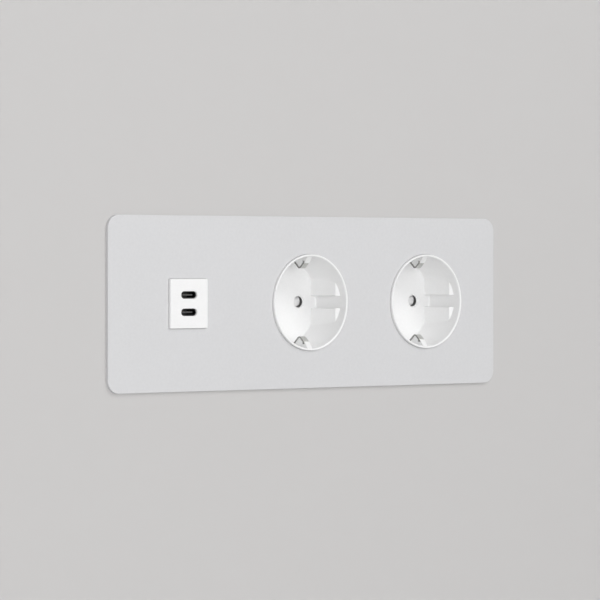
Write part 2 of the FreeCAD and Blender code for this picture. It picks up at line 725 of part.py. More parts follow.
def usb_transformer():
    """The transformer: a ferrite core round a wound bobbin."""
    front = MAIN_BOARD_BACK
    middle_z = 5.0
    bobbin = 10.8
    core = block(-8, 8, front, front + 10.6, middle_z - 8, middle_z + 8)
    half = bobbin / 2
    core = core.cut(block(-half, half, front - 1, front + 12, middle_z - half, middle_z + half))
    return fuse(core, slab(bobbin, bobbin, 3.0, front, front + 10.0, 0, middle_z))


def usb_capacitors():
    """Three round capacitors standing on the power board."""
    front = MAIN_BOARD_BACK
    big_r, small_r = 4.0, 3.2
    big, small = front + 10.6, front + 9.0
    cans = [rod(big_r, front, big, -13.4, z) for z in (5.0, -5.2)]
    cans.append(rod(small_r, front, small, 13.2, 8.6))
    return Part.makeCompound([can.makeChamfer(0.4, edges_at(can, can.BoundBox.YMax)) for can in cans])


def usb_terminal_block():
    """The terminal block for the mains wires, which shows through the housing's back."""
    back = USB_HOUSING_BACK
    body = block(-8.4, 8.4, MAIN_BOARD_BACK, back - 0.6, -17.0, -6.0)
    for x in TERMINAL_XS:
        screw_well = rod(2.2, back - 4.0, back, x, TERMINAL_SCREW_Z)
        wire_way = rod(1.8, back - 8.0, back, x, TERMINAL_WIRE_Z)
        body = cut_all(body, [screw_well, wire_way])
    return body


def usb_terminal_screws():
    """The two clamp screws of the terminal block."""
    screws = []
    for x in TERMINAL_XS:
        screw = pan_head_screw(2.1, 1.2, 1.2, 1.6, 0.6)
        screw.rotate(CENTRE, RIGHT_X, 180)
        screw.translate(Vector(x, USB_HOUSING_BACK - 2.4, TERMINAL_SCREW_Z))
        screws.append(screw)
    return Part.makeCompound(screws)


def usb_housing():
    """The rear housing of the charging outlet, with a window for the terminals and rows of air slots."""
    back = USB_HOUSING_BACK
    start, end = back - HOUSING_WALL - 1, back + 1
    tools = [slab(17.2, 11.4, 0.6, start, end, 0, -11.5)]
    for row in range(4):
        tools.append(slab(18.0, 1.4, 0.6, start, end, 0, 1.0 + 3.4 * row))
    return cut_all(housing_shell(back), tools).removeSplitter()


def gang_parts(name, x):
    """The frame, claws and screws that each of the three outlets has."""
    blade = claw()
    return {
        f"{name}_support_frame": moved(support_frame(), x),
        f"{name}_claw_right": moved(blade, x),
        f"{name}_claw_left": moved(mirror_x(blade), x),
        f"{name}_claw_screws": moved(claw_screws(), x),
        f"{name}_frame_screws": moved(frame_screws(), x),
    }


def socket_parts(name, x):
    """One complete socket outlet."""
    contact = pin_contact()
    key = release_key()
    parts = {
        f"{name}_well": well(),
        f"{name}_shutter": shutter(),
        f"{name}_shutter_spring": shutter_spring(),
        f"{name}_shutter_cover": shutter_cover(),
        f"{name}_earth_strap": earth_strap(),
        f"{name}_contact_right": contact,
        f"{name}_contact_left": mirror_x(contact),
        f"{name}_terminal_springs": terminal_springs(),
        f"{name}_release_key_right": key,
        f"{name}_release_key_left": mirror_x(key),
        f"{name}_housing": socket_housing(),
    }
    parts = {node: moved(shape, x) for node, shape in parts.items()}
    parts.update(gang_parts(name, x))
    return parts


def usb_parts():
    """The complete charging outlet."""
    high, low = PORT_PITCH / 2, -PORT_PITCH / 2
    parts = {
        "usb_bezel": usb_bezel(),
        "usb_port_upper": usb_port(high),
        "usb_port_lower": usb_port(low),
        "usb_tongue_upper": usb_tongue(high),
        "usb_tongue_lower": usb_tongue(low),
        "usb_front_board": usb_front_board(),
        "usb_main_board": usb_main_board(),
        "usb_header": usb_header(),
        "usb_transformer": usb_transformer(),
        "usb_capacitors": usb_capacitors(),
        "usb_terminal_block": usb_terminal_block(),
        "usb_terminal_screws": usb_terminal_screws(),
        "usb_housing": usb_housing(),
    }
    parts = {node: moved(shape, USB_X) for node, shape in parts.items()}
    parts.update(gang_parts("usb", USB_X))
    return parts


def main():
    """Builds every piece and writes each to a file of its own."""
    os.makedirs("parts", exist_ok=True)
    parts = {"front_plate": front_plate(), "plate_clips": plate_clips()}
    parts.update(usb_parts())
    for name, x in SOCKETS.items():
        parts.update(socket_parts(name, x))
    for node, shape in parts.items():
        shape.exportStep(f"parts/{node}.step")
        print(node, "solids", len(shape.Solids), "valid", shape.isValid(), "mm3", round(shape.Volume, 1))


main()
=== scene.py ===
"""Dresses a three-gang wall plate: a charging outlet with two USB-C ports beside two earthed sockets."""

import contextlib
import json
import math

import bmesh
import bpy
from bpy.props import FloatProperty, FloatVectorProperty, PointerProperty
from mathutils import Matrix, Vector


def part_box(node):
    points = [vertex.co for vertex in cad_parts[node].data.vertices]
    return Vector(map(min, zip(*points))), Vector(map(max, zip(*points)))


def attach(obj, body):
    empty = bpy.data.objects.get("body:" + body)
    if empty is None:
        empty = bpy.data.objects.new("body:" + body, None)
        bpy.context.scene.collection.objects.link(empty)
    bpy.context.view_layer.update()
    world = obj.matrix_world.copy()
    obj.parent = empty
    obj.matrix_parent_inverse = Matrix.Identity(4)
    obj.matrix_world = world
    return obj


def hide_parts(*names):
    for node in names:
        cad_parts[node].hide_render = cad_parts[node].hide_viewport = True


bl_info = {
    "name": "Wall plate with sockets",
    "version": (1, 0, 0),
    "blender": (4, 5, 0),
    "location": "3D View > Sidebar > Wall plate",
    "description": "Models what shows of a three-gang wall plate on its CAD frame, and finishes every piece",
    "category": "Object",
}

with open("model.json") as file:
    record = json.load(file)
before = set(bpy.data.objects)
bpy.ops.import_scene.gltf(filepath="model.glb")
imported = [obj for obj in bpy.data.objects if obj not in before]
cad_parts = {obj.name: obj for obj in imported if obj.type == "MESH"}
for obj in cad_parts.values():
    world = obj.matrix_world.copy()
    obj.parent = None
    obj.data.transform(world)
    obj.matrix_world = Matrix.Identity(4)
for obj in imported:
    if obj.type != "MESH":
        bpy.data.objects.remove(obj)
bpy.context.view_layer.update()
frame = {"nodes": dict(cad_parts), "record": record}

MM = 0.001
FULL_TURN = 2 * math.pi
ALONG_Y = (math.pi / 2, 0, 0)
ROUND_STEPS = 144
SMALL_ROUND_STEPS = 64
SHARP_FROM = math.radians(32)
FACING = 0.9

# Closer than this counts as the same: lengths, points, and the two ends of a full spin
SAME_LENGTH = 0.01 * MM
SAME_POINT = 1e-6
SPIN_SEAM = 1e-7

# How far a cutting tool, or a joined piece's root, reaches past the face that it goes through
OVERRUN = 1.0 * MM

# Levels and centres, read from the frame
PLATE_LOW, PLATE_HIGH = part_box("front_plate")
PLATE_FRONT = PLATE_LOW.y
WALL = PLATE_HIGH.y
RIM_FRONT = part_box("socket_one_well")[0].y
USB_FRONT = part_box("usb_bezel")[0].y
USB_CENTRE = sum(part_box("usb_bezel"), Vector()) / 2
SOCKET_TWO_X = sum(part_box("socket_two_well"), Vector()).x / 2

# The plate
PLATE_CORNER_R = 6.0 * MM
WINDOW_CORNER_R = 0.65 * MM
PLATE_SKIN = 0.7 * MM
PLATE_BORDER = 1.2 * MM
HOLE_GAP = 0.15 * MM
POCKET = PLATE_FRONT + PLATE_SKIN

# The socket inserts
RIM_R = 22.0 * MM
WELL_R = 21.0 * MM
BASE_R = 19.8 * MM
INSERT_R = 22.9 * MM
SHOULDER = POCKET + 0.1 * MM
SHOULDER_EDGE_R = 0.2 * MM
INSERT_EDGE_R = 0.8 * MM
LEDGE = RIM_FRONT + 5.5 * MM
BASE = RIM_FRONT + 20.5 * MM
BASE_BACK = BASE + 2.0 * MM
POST_R = 1.5 * MM
POST_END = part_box("socket_one_well")[1].y
POST_EDGE_R = 0.3 * MM
FLAT_HALF_GAP = 18.9 * MM
BASE_FLAT_HALF_GAP = 16.6 * MM
LEDGE_SLOPE = 0.65
CHANNEL_HALF_WIDTH = 2.85 * MM
CHEEK_R = 22.0 * MM
CHEEK_FRONT = LEDGE - 3.0 * MM
PIN_X = 9.5 * MM
PIN_HOLE_R = 2.6 * MM
PIN_HOLE_STEPS = 48
PIN_HOLE_MOUTH = 0.5 * MM
PIN_HOLE_LIP = 0.8 * MM
PIN_ROOM_R = 4.2 * MM

# The earth clips, and the white horns that they lie on
STRAP_HALF_WIDTH = 1.5 * MM
STRAP_SHEET = 0.8 * MM
STRAP_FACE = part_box("socket_one_earth_strap")[1].z - STRAP_SHEET
STRAP_BEND_R = 1.1 * MM
CLIP_APEX = Vector((0, RIM_FRONT + 7.0 * MM, 14.94 * MM))
CLIP_MOUTH_Z = 17.9 * MM
CLIP_SLOPE = math.radians(41)
CLIP_TAIL = 1.1 * MM
CLIP_POCKET_DEPTH = 1.3 * MM
CLIP_APEX_R = 1.5 * MM
HORN_HALF_WIDTH = 1.4 * MM
HORN_GAP = 0.15 * MM
HORN_ROOT_Z = WELL_R + 0.4 * MM
HORN_ROOT_FRONT = RIM_FRONT + 0.9 * MM
HORN_EDGE_R = 0.15 * MM
SLOT_MARGIN = 0.2 * MM
SLOT_START = 5.0 * MM
SLOT_LENGTH = 9.0 * MM

# The strap behind the base
STRAP_LEVEL = POST_END + 0.7 * MM
TAB_LOW_Z = -14.8 * MM
TAB_HIGH_Z = -14.0 * MM
TAB_EDGE_R = 0.3 * MM
STRIP_EDGE_SHARE = 0.12
STRIP_EDGE_FROM = math.radians(60)

# The shutter behind the base
SHUTTER_FRONT = BASE_BACK + 0.3 * MM
SHUTTER_BACK = SHUTTER_FRONT + 2.0 * MM
SHUTTER_HUB_R = 3.4 * MM
SHUTTER_LOBE_R = 2.6 * MM
SHUTTER_REST = math.radians(2.7)
SHUTTER_EDGE_R = 0.2 * MM
POST_PLAY = 0.05 * MM
ARM_ROOT_X = 2.4 * MM
ARM_HALF_WIDTH = 1.7 * MM
ARM_STEP = 0.5 * MM
ARM_EDGE_R = 0.3 * MM
LOBE_EDGE_R = 0.25 * MM
RAMP_HALF_LENGTH = 4.0 * MM
RAMP_START_Z = 0.3 * MM
RAMP_END_Z = 4.0 * MM
RAMP_DEPTH = 1.3 * MM
RAMP_LIFT = 0.4 * MM

# Snap hooks
HOOK_FRONT = 9.0 * MM
HOOK_BACK = 13.0 * MM
HOOK_HALF_WIDTH = 2.5 * MM
HOOK_REACH = 1.0 * MM

# The front of the charging outlet
USB_FACE_WIDTH = 21.0 * MM
USB_FACE_HEIGHT = 22.0 * MM
USB_CORNER_R = 0.5 * MM
USB_WALL = 1.5 * MM
USB_DRUM_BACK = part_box("usb_bezel")[1].y
USB_DRUM_EDGE_R = 0.3 * MM
PORT_WIDTH = 9.0 * MM
PORT_HEIGHT = 3.3 * MM
PORT_EDGE_R = 0.12 * MM
PORT_SHEET = 0.28 * MM
PORT_SHEET_EDGE_R = 0.06 * MM

# The tongues in the ports, and the contacts on them
TONGUE_ROOT_FRONT = 1.6 * MM
TONGUE_ROOT_CORNER_R = 1.2 * MM
TONGUE_WIDTH = 6.7 * MM
TONGUE_SHEET = 0.7 * MM
TONGUE_CORNER_R = 0.3 * MM
TONGUE_EDGE_R = 0.15 * MM
TONGUE_LAP = 0.4 * MM
CONTACTS = 12
CONTACT_PITCH = 0.5 * MM
CONTACT_WIDTH = 0.26 * MM
CONTACT_LENGTH = 3.4 * MM
CONTACT_BACK = 0.5 * MM
CONTACT_SUNK = 0.05 * MM
CONTACT_PROUD = 0.03 * MM
CONTACT_EDGE_R = 0.02 * MM

# The stage, in metres; each lamp's place, width and height
SENSOR_MM = 36.0
SIGHT_LIMIT = 20.0
LAMPS = {
    "key": ((0.9, -1.7, 0.7), 1.0, 1.0),
    "fill": ((-0.7, -1.85, 0.14), 1.2, 0.62),
    "side": ((-1.35, -1.35, 0.35), 1.2, 1.2),
    "top": ((0.5, -1.3, 1.3), 0.6, 0.6),
    "rear": ((-0.5, 1.6, 0.9), 1.2, 1.2),
}
BACKGROUND = (0.7, 0.7, 0.7, 1)
WALL_LAP = 0.6 * MM
WALL_SINK = 0.05 * MM
WALL_GROWTH = (20, 1, 60)
FLOOR_SPAN = 12.0

# The Mix node's colour sockets, which share their names with its others
MIX_FIRST, MIX_SECOND, MIX_RESULT = 6, 7, 2


def length(name, description, default):
    """A length that the user can change."""
    return FloatProperty(name=name, description=description, unit="LENGTH", default=default)


def colour_of(name, description, default):
    """A colour that the user can change."""
    return FloatVectorProperty(name=name, description=description, subtype="COLOR", default=default)


def power(name, description, default):
    """A lamp's power that the user can change."""
    return FloatProperty(name=name, description=description, unit="POWER", default=default)


def turned(name, description, degrees):
    """An angle that the user can change."""
    return FloatProperty(name=name, description=description, subtype="ANGLE", default=math.radians(degrees))


class PlateLook(bpy.types.PropertyGroup):
    """The painted front plate."""

    colour: colour_of("Colour", "Powder coat", (0.69, 0.69, 0.70))
    edge_r: length("Edge", "Radius of the front edge", 0.3 * MM)
    hole_edge_r: length("Hole edge", "Radius round the holes", 0.12 * MM)
    grain: length("Grain", "Size of the coat's grain", 0.5 * MM)


class PlasticLook(bpy.types.PropertyGroup):
    """The white moulded fronts."""

    colour: colour_of("Colour", "White plastic", (0.93, 0.93, 0.93))
    lip_r: length("Lip", "Radius of the well's lip", 0.6 * MM)
    rim_edge_r: length("Rim edge", "Radius of the rim's edge", 0.28 * MM)
    base_r: length("Base corner", "Radius round the base", 0.8 * MM)
    ledge_r: length("Ledge edge", "Radius of the ledges' edges", 0.3 * MM)
    face_edge_r: length("Face edge", "Radius of the USB face's edge", 0.22 * MM)


class StageLook(bpy.types.PropertyGroup):
    """Camera, lamps, wall and floor."""

    turn: turned("Turn", "Camera's turn about the upright", -39.853)
    tilt: turned("Tilt", "Camera's look down", 0.65)
    roll: turned("Roll", "Camera's roll", 0.03)
    distance: length("Distance", "Camera to the wall's middle point", 1.574173)
    aim_right: length("Aim right", "Middle point right of the view's centre", 3.498 * MM)
    aim_down: length("Aim down", "Middle point below the view's centre", 1.094 * MM)
    lens: FloatProperty(name="Lens", description="Focal length on a 36 mm sensor", default=206.22)
    key_power: power("Key lamp", "Soft lamp from the upper right", 4.7)
    fill_power: power("Fill lamp", "Soft lamp from the left, at the height of the plate", 13.2)
    side_power: power("Side lamp", "Soft lamp from further left", 3.9)
    top_power: power("Top lamp", "Smaller lamp from above", 8.4)
    rear_power: power("Rear lamp", "Soft lamp behind the wall, for the back", 22.0)
    sky: FloatProperty(name="Sky", description="Strength of the even light", default=0.29)
    wall_colour: colour_of("Wall", "Backdrop", (0.605, 0.595, 0.59))
    floor_colour: colour_of("Floor", "Floor", (0.72, 0.72, 0.72))
    floor_drop: length("Floor drop", "Floor below the middle point", 0.6)


@contextlib.contextmanager
def editing(piece, kind="FACE"):
    """Edit mode on one piece, with nothing in it selected."""
    bpy.ops.object.select_all(action="DESELECT")
    piece.select_set(True)
    bpy.context.view_layer.objects.active = piece
    bpy.ops.object.mode_set(mode="EDIT")
    bpy.ops.mesh.select_mode(type=kind)
    bpy.ops.mesh.select_all(action="DESELECT")
    yield piece
    bpy.ops.object.mode_set(mode="OBJECT")


def pick(parts, test):
    """Selects the vertices, edges or faces of the mesh in edit mode that pass a test, and nothing else."""
    bpy.ops.mesh.select_all(action="DESELECT")
    edit_mesh = bpy.context.edit_object.data
    mesh = bmesh.from_edit_mesh(edit_mesh)
    for item in getattr(mesh, parts):
        if test(item):
            item.select_set(True)
    mesh.select_flush_mode()
    bmesh.update_edit_mesh(edit_mesh)


def near(value, target):
    """Whether two lengths are the same, to a hundredth of a millimetre."""
    return abs(value - target) < SAME_LENGTH


def edge_within(test):
    """A test that an edge passes if both its ends pass."""
    return lambda edge: all(test(vert.co) for vert in edge.verts)


def fresh(add, name, **place):
    """A new primitive with its place in its mesh, and nothing else selected."""
    bpy.ops.object.select_all(action="DESELECT")
    add(**place)
    piece = bpy.context.object
    piece.name = name
    bpy.ops.object.transform_apply(location=True, rotation=True, scale=True)
    return piece


def box(name, low, high):
    """A box between two corners."""
    middle, size = (low + high) / 2, high - low
    return fresh(bpy.ops.mesh.primitive_cube_add, name, size=1, location=middle, scale=size)


def cylinder(name, radius, front, back, x=0.0, z=0.0, steps=ROUND_STEPS):
    """A cylinder along Y."""
    place = (x, (front + back) / 2, z)
    return fresh(
        bpy.ops.mesh.primitive_cylinder_add, name,
        vertices=steps, radius=radius, depth=back - front, location=place, rotation=ALONG_Y,
    )


def drawn_line(name, points):
    """A line of edges from point to point, drawn on by extruding its end."""
    piece = fresh(bpy.ops.mesh.primitive_plane_add, name, size=MM)
    with editing(piece, "VERT"):
        bpy.ops.mesh.select_all(action="SELECT")
        bpy.ops.mesh.merge(type="CENTER")
        bpy.ops.transform.translate(value=points[0])
        for here, there in zip(points, points[1:]):
            bpy.ops.mesh.extrude_region_move(TRANSFORM_OT_translate={"value": there - here})
    return piece


def round_corners(piece, corners, steps=5):
    """Rounds a line's corners, each a point with its radius."""
    with editing(piece, "VERT"):
        for corner, radius in corners:
            pick("verts", lambda vert: (vert.co - corner).length < SAME_POINT)
            bpy.ops.mesh.bevel(offset=radius, segments=steps, affect="VERTICES", clamp_overlap=False)


def lathe(name, profile, corners=(), steps=ROUND_STEPS):
    """A profile of radius and depth, with some corners rounded, spun about the Y axis."""
    points = [Vector((radius, depth, 0)) for radius, depth in profile]
    piece = drawn_line(name, points)
    round_corners(piece, [(points[index], radius) for index, radius in corners])
    with editing(piece, "VERT"):
        bpy.ops.mesh.select_all(action="SELECT")
        bpy.ops.mesh.spin(steps=steps, angle=FULL_TURN, center=(0, 0, 0), axis=(0, 1, 0))
        bpy.ops.mesh.select_all(action="SELECT")
        bpy.ops.mesh.remove_doubles(threshold=SPIN_SEAM)
        bpy.ops.mesh.normals_make_consistent(inside=False)
    return piece


def prism(name, points, push):
    """A flat outline filled and pushed along a vector."""
    piece = drawn_line(name, points)
    with editing(piece, "VERT"):
        bpy.ops.mesh.select_all(action="SELECT")
        bpy.ops.mesh.edge_face_add()
        bpy.ops.mesh.extrude_region_move(TRANSFORM_OT_translate={"value": push})
        bpy.ops.mesh.select_all(action="SELECT")
        bpy.ops.mesh.normals_make_consistent(inside=False)
    return piece


def bevel_edges(piece, test, width, steps=3):
    """Rounds the edges that pass a test."""
    with editing(piece, "EDGE"):
        pick("edges", test)
        bpy.ops.mesh.bevel(offset=width, segments=steps, profile=0.5, clamp_overlap=False)


def apply_modifier(piece, kind, **settings):
    """Adds one modifier with its settings and applies it."""
    bpy.ops.object.select_all(action="DESELECT")
    piece.select_set(True)
    bpy.context.view_layer.objects.active = piece
    bpy.ops.object.modifier_add(type=kind)
    modifier = piece.modifiers[-1]
    for key, value in settings.items():
        setattr(modifier, key, value)
    bpy.ops.object.modifier_apply(modifier=modifier.name)


def carve(piece, *tools, operation="DIFFERENCE"):
    """Cuts each tool out of a piece, or joins it on, and removes the tool."""
    for tool in tools:
        apply_modifier(piece, "BOOLEAN", operation=operation, solver="EXACT", object=tool)
        bpy.data.objects.remove(tool)


def weld_on(piece, *others):
    """Joins other solids onto a piece."""
    carve(piece, *others, operation="UNION")


def mirrored(piece, upright=False):
    """The piece and its mirror image across the middle, left and right, or above and below, in one mesh."""
    axes = (not upright, False, upright)
    apply_modifier(piece, "MIRROR", use_axis=axes, use_mirror_merge=False)
    return piece


def shifted_copy(piece, name, shift):
    """A copy with its own mesh, moved inside it."""
    bpy.ops.object.select_all(action="DESELECT")
    piece.select_set(True)
    bpy.context.view_layer.objects.active = piece
    bpy.ops.object.duplicate(linked=False)
    copy = bpy.context.object
    copy.name = name
    bpy.ops.transform.translate(value=shift)
    bpy.ops.object.transform_apply(location=True, rotation=False, scale=False)
    return copy


def join(pieces):
    """Puts several meshes into the first."""
    bpy.ops.object.select_all(action="DESELECT")
    for piece in pieces:
        piece.select_set(True)
    bpy.context.view_layer.objects.active = pieces[0]
    bpy.ops.object.join()


def move_all(piece, shift):
    """Moves a piece's whole mesh."""
    with editing(piece):
        bpy.ops.mesh.select_all(action="SELECT")
        bpy.ops.transform.translate(value=shift)


def turn_all(piece, angle):
    """Turns a piece's whole mesh about the Y axis."""
    with editing(piece):
        bpy.ops.mesh.select_all(action="SELECT")
        bpy.ops.transform.rotate(value=angle, orient_axis="Y", center_override=(0, 0, 0))


def along_y(edge):
    """Whether an edge runs along the Y axis."""
    return not near(edge.verts[0].co.y, edge.verts[1].co.y)


def settle(piece, slot, nodes, body="root"):
    """Cleans and shades a finished piece, and lets it stand for its CAD nodes on their body."""
    with editing(piece, "VERT"):
        bpy.ops.mesh.select_all(action="SELECT")
        bpy.ops.mesh.remove_doubles(threshold=SAME_POINT)
    bpy.ops.object.shade_smooth_by_angle(angle=SHARP_FROM)
    apply_modifier(piece, "WEIGHTED_NORMAL", keep_sharp=True)
    piece.data.name = piece.name
    piece.data.materials.clear()
    piece.data.materials.append(bpy.data.materials[slot])
    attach(piece, body)
    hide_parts(*nodes)


def check_made(piece):
    """Stops the script if a piece came out empty or open."""
    mesh = bmesh.new()
    mesh.from_mesh(piece.data)
    faces = len(mesh.faces)
    open_edges = sum(1 for edge in mesh.edges if len(edge.link_faces) != 2)
    mesh.free()
    if not faces or open_edges:
        raise RuntimeError(f"{piece.name} came out with {faces} faces and {open_edges} open edges")


def rounded_bar(name, width, height, corner, front, back, x=0.0, z=0.0, steps=8):
    """A bar along Y with a rounded section, whose corners stay just short of meeting."""
    half = Vector((width / 2, 0, height / 2))
    bar = box(name, Vector((x, front, z)) - half, Vector((x, back, z)) + half)
    bevel_edges(bar, along_y, min(corner, height / 2 - SAME_LENGTH), steps)
    return bar


def snap_hook():
    """A wedge that snaps into the rear housing's window."""
    root, tip, low = INSERT_R - OVERRUN, INSERT_R + HOOK_REACH, -HOOK_HALF_WIDTH
    side = [Vector((root, HOOK_FRONT, low)), Vector((tip, HOOK_FRONT, low)), Vector((root, HOOK_BACK, low))]
    return prism("hook", side, Vector((0, 0, 2 * HOOK_HALF_WIDTH)))


def clip_mouth_y():
    """How deep the top clip's front end lies, at its face towards the axis."""
    return CLIP_APEX.y - (CLIP_MOUTH_Z - CLIP_APEX.z) / math.tan(CLIP_SLOPE)


def clip_corners(depth, front_z, rear_z):
    """The front end, apex and rear end of the top clip's line, at a depth under its face towards the axis."""
    apex = CLIP_APEX + Vector((0, 0, depth / math.cos(CLIP_SLOPE)))
    front_run, rear_run = ((z - apex.z) / math.tan(CLIP_SLOPE) for z in (front_z, rear_z))
    return Vector((0, apex.y - front_run, front_z)), apex, Vector((0, apex.y + rear_run, rear_z))


def folded_strip(name, middle_line, bends, width, sheet):
    """A strip of sheet metal along a line, with rounded bends and broken edges."""
    piece = drawn_line(name, middle_line)
    round_corners(piece, bends, steps=6)
    with editing(piece, "EDGE"):
        bpy.ops.mesh.select_all(action="SELECT")
        bpy.ops.mesh.extrude_edges_move(TRANSFORM_OT_translate={"value": width})
    apply_modifier(piece, "SOLIDIFY", thickness=sheet, offset=0)
    with editing(piece, "EDGE"):
        bpy.ops.mesh.select_all(action="SELECT")
        bpy.ops.mesh.normals_make_consistent(inside=False)
    apply_modifier(
        piece, "BEVEL", width=sheet * STRIP_EDGE_SHARE, segments=2, limit_method="ANGLE",
        angle_limit=STRIP_EDGE_FROM,
    )
    return piece


def port_heights():
    """The middle heights of the upper and the lower port."""
    return [sum(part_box(f"usb_port_{place}"), Vector()).z / 2 for place in ("upper", "lower")]


class WALLPLATE_OT_plate(bpy.types.Operator):
    """Model the thin painted plate with its two round holes and its square window"""

    bl_idname = "wallplate.plate"
    bl_label = "Front plate"

    def execute(self, context):
        look = context.scene.plate_look
        plate = box("plate", PLATE_LOW, PLATE_HIGH)
        bevel_edges(plate, along_y, PLATE_CORNER_R, steps=12)
        with editing(plate):
            pick("faces", lambda face: face.normal.y > FACING)
            bpy.ops.mesh.inset(thickness=PLATE_BORDER)
            bpy.ops.mesh.extrude_region_move(TRANSFORM_OT_translate={"value": (0, POCKET - WALL, 0)})
        bevel_edges(plate, edge_within(lambda co: near(co.y, PLATE_FRONT)), look.edge_r, steps=4)
        hole_r = RIM_R + HOLE_GAP
        half_width, half_height = USB_FACE_WIDTH / 2 + HOLE_GAP, USB_FACE_HEIGHT / 2 + HOLE_GAP
        low = Vector((USB_CENTRE.x - half_width, PLATE_FRONT - OVERRUN, -half_height))
        high = Vector((USB_CENTRE.x + half_width, WALL + OVERRUN, half_height))
        window = box("window", low, high)
        bevel_edges(window, along_y, WINDOW_CORNER_R, steps=4)
        holes = [cylinder("hole", hole_r, PLATE_FRONT - OVERRUN, WALL, x) for x in (0.0, SOCKET_TWO_X)]
        carve(plate, window, *holes)

        def on_hole(co):
            away = min(math.hypot(co.x, co.z), math.hypot(co.x - SOCKET_TWO_X, co.z))
            in_window = abs(co.x - USB_CENTRE.x) < half_width + HOLE_GAP and abs(co.z) < half_height + HOLE_GAP
            return near(co.y, PLATE_FRONT) and (near(away, hole_r) or in_window)

        bevel_edges(plate, edge_within(on_hole), look.hole_edge_r, steps=2)
        check_made(plate)
        settle(plate, "plate_paint", ["front_plate"])
        return {"FINISHED"}


class WALLPLATE_OT_inserts(bpy.types.Operator):
    """Model the white socket inserts: rim, tapered well, ledges, channels, pin holes, horns and hooks"""

    bl_idname = "wallplate.inserts"
    bl_label = "Socket inserts"

    def lathed_body(self, look):
        profile = [
            (0.0, BASE), (BASE_R, BASE), (WELL_R, LEDGE), (WELL_R, RIM_FRONT), (RIM_R, RIM_FRONT),
            (RIM_R, SHOULDER), (INSERT_R, SHOULDER), (INSERT_R, BASE_BACK), (POST_R, BASE_BACK),
            (POST_R, POST_END), (0.0, POST_END),
        ]
        corners = [
            (1, look.base_r), (3, look.lip_r), (4, look.rim_edge_r), (6, SHOULDER_EDGE_R), (7, INSERT_EDGE_R),
            (9, POST_EDGE_R),
        ]
        return lathe("socket_one_insert", profile, corners)

    def cheeks(self, look):
        """The four cheeks whose inner sides are the drafted flats, with a guide channel between each pair."""
        edge = Vector((FLAT_HALF_GAP, LEDGE, 0))
        flat = Vector((BASE - LEDGE, FLAT_HALF_GAP - BASE_FLAT_HALF_GAP, 0)).normalized()
        ledge = Vector((LEDGE_SLOPE, 1, 0)).normalized()
        channel = Vector((0, 0, 1))
        cheek = cylinder("cheek", CHEEK_R, CHEEK_FRONT, BASE + OVERRUN)
        planes = ((edge, flat), (edge, ledge), (channel * CHANNEL_HALF_WIDTH, channel))
        with editing(cheek):
            for point, normal in planes:
                bpy.ops.mesh.select_all(action="SELECT")
                bpy.ops.mesh.bisect(plane_co=point, plane_no=normal, clear_inner=True, use_fill=True)

        def on_two_faces(co):
            return sum(near((co - point).dot(normal), 0) for point, normal in planes) >= 2

        bevel_edges(cheek, edge_within(on_two_faces), look.ledge_r, steps=4)
        return mirrored(mirrored(cheek), upright=True)

    def horns(self):
        """The white horns at the top and bottom that the earth clips lie on."""
        front, apex, rear = clip_corners(STRAP_SHEET + HORN_GAP, CLIP_MOUTH_Z, HORN_ROOT_Z)
        root = Vector((0, HORN_ROOT_FRONT, HORN_ROOT_Z))
        tip = Vector((0, clip_mouth_y() - HORN_GAP, CLIP_MOUTH_Z))
        shift = Vector((-HORN_HALF_WIDTH, 0, 0))
        horn = prism("horn", [point + shift for point in (root, tip, front, apex, rear)], -2 * shift)
        bevel_edges(horn, edge_within(lambda co: co.z < HORN_ROOT_Z - HORN_EDGE_R), HORN_EDGE_R, steps=2)
        return mirrored(horn, upright=True)

    def clip_slots(self):
        """The pocket for each clip's front end, and the slot in the wall for its rear arm."""
        half = STRAP_HALF_WIDTH + HORN_GAP
        front = clip_mouth_y()
        low = Vector((-half, front - HORN_GAP, CLIP_MOUTH_Z - OVERRUN))
        high = Vector((half, front + CLIP_POCKET_DEPTH, CLIP_MOUTH_Z + CLIP_TAIL + HORN_GAP))
        pocket = box("pocket", low, high)
        along = Vector((0, math.cos(CLIP_SLOPE), math.sin(CLIP_SLOPE)))
        across = Vector((0, -along.z, along.y))
        near_side, far_side = across * -SLOT_MARGIN, across * (STRAP_SHEET + SLOT_MARGIN)
        start = CLIP_APEX + along * SLOT_START - Vector((half, 0, 0))
        end = start + along * SLOT_LENGTH
        outline = [start + near_side, end + near_side, end + far_side, start + far_side]
        slot = prism("slot", outline, Vector((2 * half, 0, 0)))
        return mirrored(pocket, upright=True), mirrored(slot, upright=True)

    def pin_holes(self):
        """The two pin holes, wide at their mouths, with room for the shutter behind their lips."""
        mouth_r = PIN_HOLE_R + PIN_HOLE_MOUTH
        lip = BASE + PIN_HOLE_LIP
        profile = [
            (0.0, BASE - OVERRUN), (mouth_r + OVERRUN, BASE - OVERRUN), (PIN_HOLE_R, BASE + PIN_HOLE_MOUTH),
            (PIN_HOLE_R, lip), (PIN_ROOM_R, lip), (PIN_ROOM_R, BASE_BACK + OVERRUN), (0.0, BASE_BACK + OVERRUN),
        ]
        hole = lathe("pin_hole", profile, steps=PIN_HOLE_STEPS)
        move_all(hole, (PIN_X, 0, 0))
        return mirrored(hole)

    def execute(self, context):
        look = context.scene.plastic_look
        insert = self.lathed_body(look)
        weld_on(insert, self.cheeks(look), self.horns())
        carve(insert, *self.clip_slots(), self.pin_holes())
        weld_on(insert, mirrored(snap_hook()))
        check_made(insert)
        other = shifted_copy(insert, "socket_two_insert", (SOCKET_TWO_X, 0, 0))
        settle(insert, "white_plastic", ["socket_one_well"])
        settle(other, "white_plastic", ["socket_two_well"])
        return {"FINISHED"}


